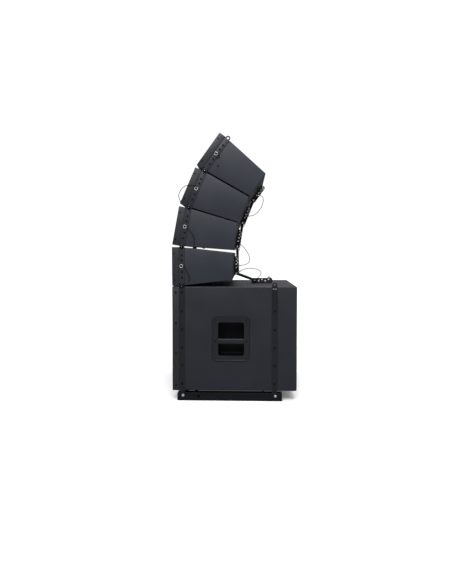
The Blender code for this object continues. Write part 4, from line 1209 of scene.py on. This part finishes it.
bracket_low, bracket_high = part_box("sub_rear_bracket")
bracket = slab((-BRACKET_OUTER, BASE_FRONT, bracket_low.z),
               (BRACKET_OUTER, bracket_high.y, bracket_low.z + 0.004))
for side in (1, -1):
    plate = side_slab(side, BRACKET_INNER, BRACKET_OUTER, bracket_low.y, bracket_high.y - 0.0001,
                      bracket_low.z + 0.0001, bracket_high.z)
    round_edges(plate, lambda edge: runs_along(edge, 0) and centre_of(edge).z > bracket_high.z - 0.001,
                0.007, 4)
    weld(bracket, plate)
sub_angle_holes = [(0, BASE_FRONT + 0.020 * place, 0.650 + 0.008 * (place % 2)) for place in range(4)]
drill(bracket, sub_angle_holes, ANGLE_HOLE_RADIUS)
drill(bracket, [SUB_LOCK_PLACE], LOCK_HOLE_RADIUS)
ease_edges(bracket, 0.0006)
smooth(bracket)
finish_piece(bracket, "bass_rear_bracket", powder_coat, "sub", "sub_rear_bracket")
finish_piece(bushings(sub_angle_holes), "bass_bracket_bushings", ring_steel, "sub")


# ---- Links: a forked steel bar pivots on each array cabinet, and its slotted end is pinned in the
# bracket of the cabinet below. The slot lets the angle be set before the pin goes in.
LINK_HALF = 0.008
LINK_ROOT = 0.058
SLOT_RADIUS = 0.0052
SLOTS = {1: (0.111, 0.1315), 2: (0.101, 0.162), 3: (0.101, 0.162), 4: (0.101, 0.162)}


def slotted_link(slot):
    """A link along +Y from its pivot at the origin."""
    end = slot[1] + 0.002 + LINK_HALF
    link = slab((-0.010, LINK_ROOT, -LINK_HALF), (0.010, LINK_ROOT + 0.014, LINK_HALF))
    bar = slab((-0.004, LINK_ROOT + 0.002, -LINK_HALF + 0.0001), (0.004, end, LINK_HALF - 0.0001))
    round_edges(bar, lambda edge: runs_along(edge, 0) and centre_of(edge).y > end - 0.001,
                LINK_HALF - 0.0002, 8)
    weld(link, bar)
    for side in (1, -1):
        ear = side_slab(side, 0.0061, 0.0099, -LINK_HALF, LINK_ROOT + 0.0139,
                        -LINK_HALF + 0.0001, LINK_HALF - 0.0001)
        round_edges(ear, lambda edge: runs_along(edge, 0) and centre_of(edge).y < 0, LINK_HALF - 0.0002, 8)
        weld(link, ear)
    opening = slab((-0.02, slot[0], -SLOT_RADIUS), (0.02, slot[1], SLOT_RADIUS))
    carve(link, opening)
    drill(link, [(0, slot[0], 0), (0, slot[1], 0)], SLOT_RADIUS - 0.00001)
    drill(link, [(0, 0, 0)], LOCK_HOLE_RADIUS)
    ease_edges(link, 0.0006)
    return smooth(link)


def lock_place(number):
    """Where a lock pin goes: in the bass cabinet's bracket, or in the bracket of the cabinet below."""
    if number == 1:
        return SUB_LOCK_PLACE
    return module_matrix(number - 1) @ on_lowest(0, *LOCK_PLACE)


for number, slot in SLOTS.items():
    pivot = module_matrix(number) @ on_lowest(0, *PIVOT_PLACE)
    reach = lock_place(number) - pivot
    link = slotted_link(slot)
    link.data.transform(Matrix.Translation(pivot) @ Matrix.Rotation(math.atan2(reach.z, reach.y), 4, "X"))
    finish_piece(link, f"angle_link_{number}", powder_coat, f"link_{number}",
                 f"link_{number}")


# ---- Lock pins: quick-release ball pins. A steel shaft through bracket and link, a fluted black
# grip on the right and a bright push button in its end.
GRIP_START = BRACKET_OUTER + GAP
GRIP_END = 0.034
GRIP_RADIUS = 0.0072
FLUTE_RADIUS = 0.0022
FLUTE_CENTRE = 0.0088

for number in SLOTS:
    place = lock_place(number)
    body_name = "sub" if number == 1 else f"module_{number - 1}"
    grip = dowel(place, GRIP_RADIUS, GRIP_START, GRIP_END, 32)
    round_rim(grip, 0, 1, 0.03, 0.0022, 4)
    for turn in range(8):
        angle = turn * math.pi / 4
        middle = place + Vector((0, FLUTE_CENTRE * math.cos(angle), FLUTE_CENTRE * math.sin(angle)))
        carve(grip, dowel(middle, FLUTE_RADIUS, GRIP_START + 0.004, GRIP_END - 0.005, 12))
    ease_edges(grip, 0.0004)
    finish_piece(smooth(grip), f"lock_grip_{number}", moulded_black, body_name,
                 f"lock_pin_{number}")
    shaft = dowel(place, PIVOT_RADIUS, -0.019, GRIP_START + 0.001, 24)
    round_rim(shaft, 0, -1, 0, 0.0012)
    button = dowel(place, 0.0026, GRIP_END - 0.002, GRIP_END + 0.0012, 24)
    round_rim(button, 0, 1, GRIP_END, 0.0009)
    shaft = gather([smooth(shaft), smooth(button)])
    finish_piece(shaft, f"lock_shaft_{number}", zinc_plate, body_name)


# ---- Rubber feet and the array cabinets' sockets: two round buffers under each cabinet, and on its
# back a small socket plate beside the rear bracket.
FOOT_RADIUS = 0.0095
FOOT_DEPTH = 0.1185
FOOT_DROP = 0.0043

rubber = coating("rubber", dark=(0.010, 0.010, 0.010), light=(0.018, 0.018, 0.018),
                 roughness=(0.8, 0.9), grain_size=0.0012, grain_depth=0.00008)

feet = []
surface = MIDDLE_HEIGHT - MODULE_HALF + (FOOT_DEPTH - TAPER_START) * math.tan(TAPER)
for x in (-0.268, 0.268):
    foot = dowel((x, FRONT + FOOT_DEPTH, 0), FOOT_RADIUS, surface - FOOT_DROP, surface + 0.004, 32, "Z")
    round_rim(foot, 2, -1, surface, 0.0018)
    feet.append(smooth(foot))
on_every_cabinet(gather(feet), "rubber_feet", rubber)

back_y = FRONT + MODULE_DEPTH
plate = rounded_slab((0.110, back_y - 0.001, MIDDLE_HEIGHT - 0.030),
                     (0.210, back_y + 0.002, MIDDLE_HEIGHT + 0.030), 1, 0.005, 4)
ease_edges(plate, 0.0005)
on_every_cabinet(smooth(plate), "rear_socket_plate", powder_coat)
pair = gather([speaker_socket(x, MIDDLE_HEIGHT, back_y + 0.002) for x in (0.140, 0.180)])
on_every_cabinet(pair, "rear_sockets", moulded_black)
corner_screws = [back_screw(x, MIDDLE_HEIGHT + z, back_y + 0.002)
                 for x in (0.117, 0.203) for z in (-0.023, 0.023)]
on_every_cabinet(gather(corner_screws), "rear_plate_screws", black_screw)
plug = socket_bolt(on_lowest(0, 0.100, -0.045), 0.0048, SIDE + 0.0012, 0.0012, 24)
on_every_cabinet(plug, "side_plug", black_screw, numbers=(4,))
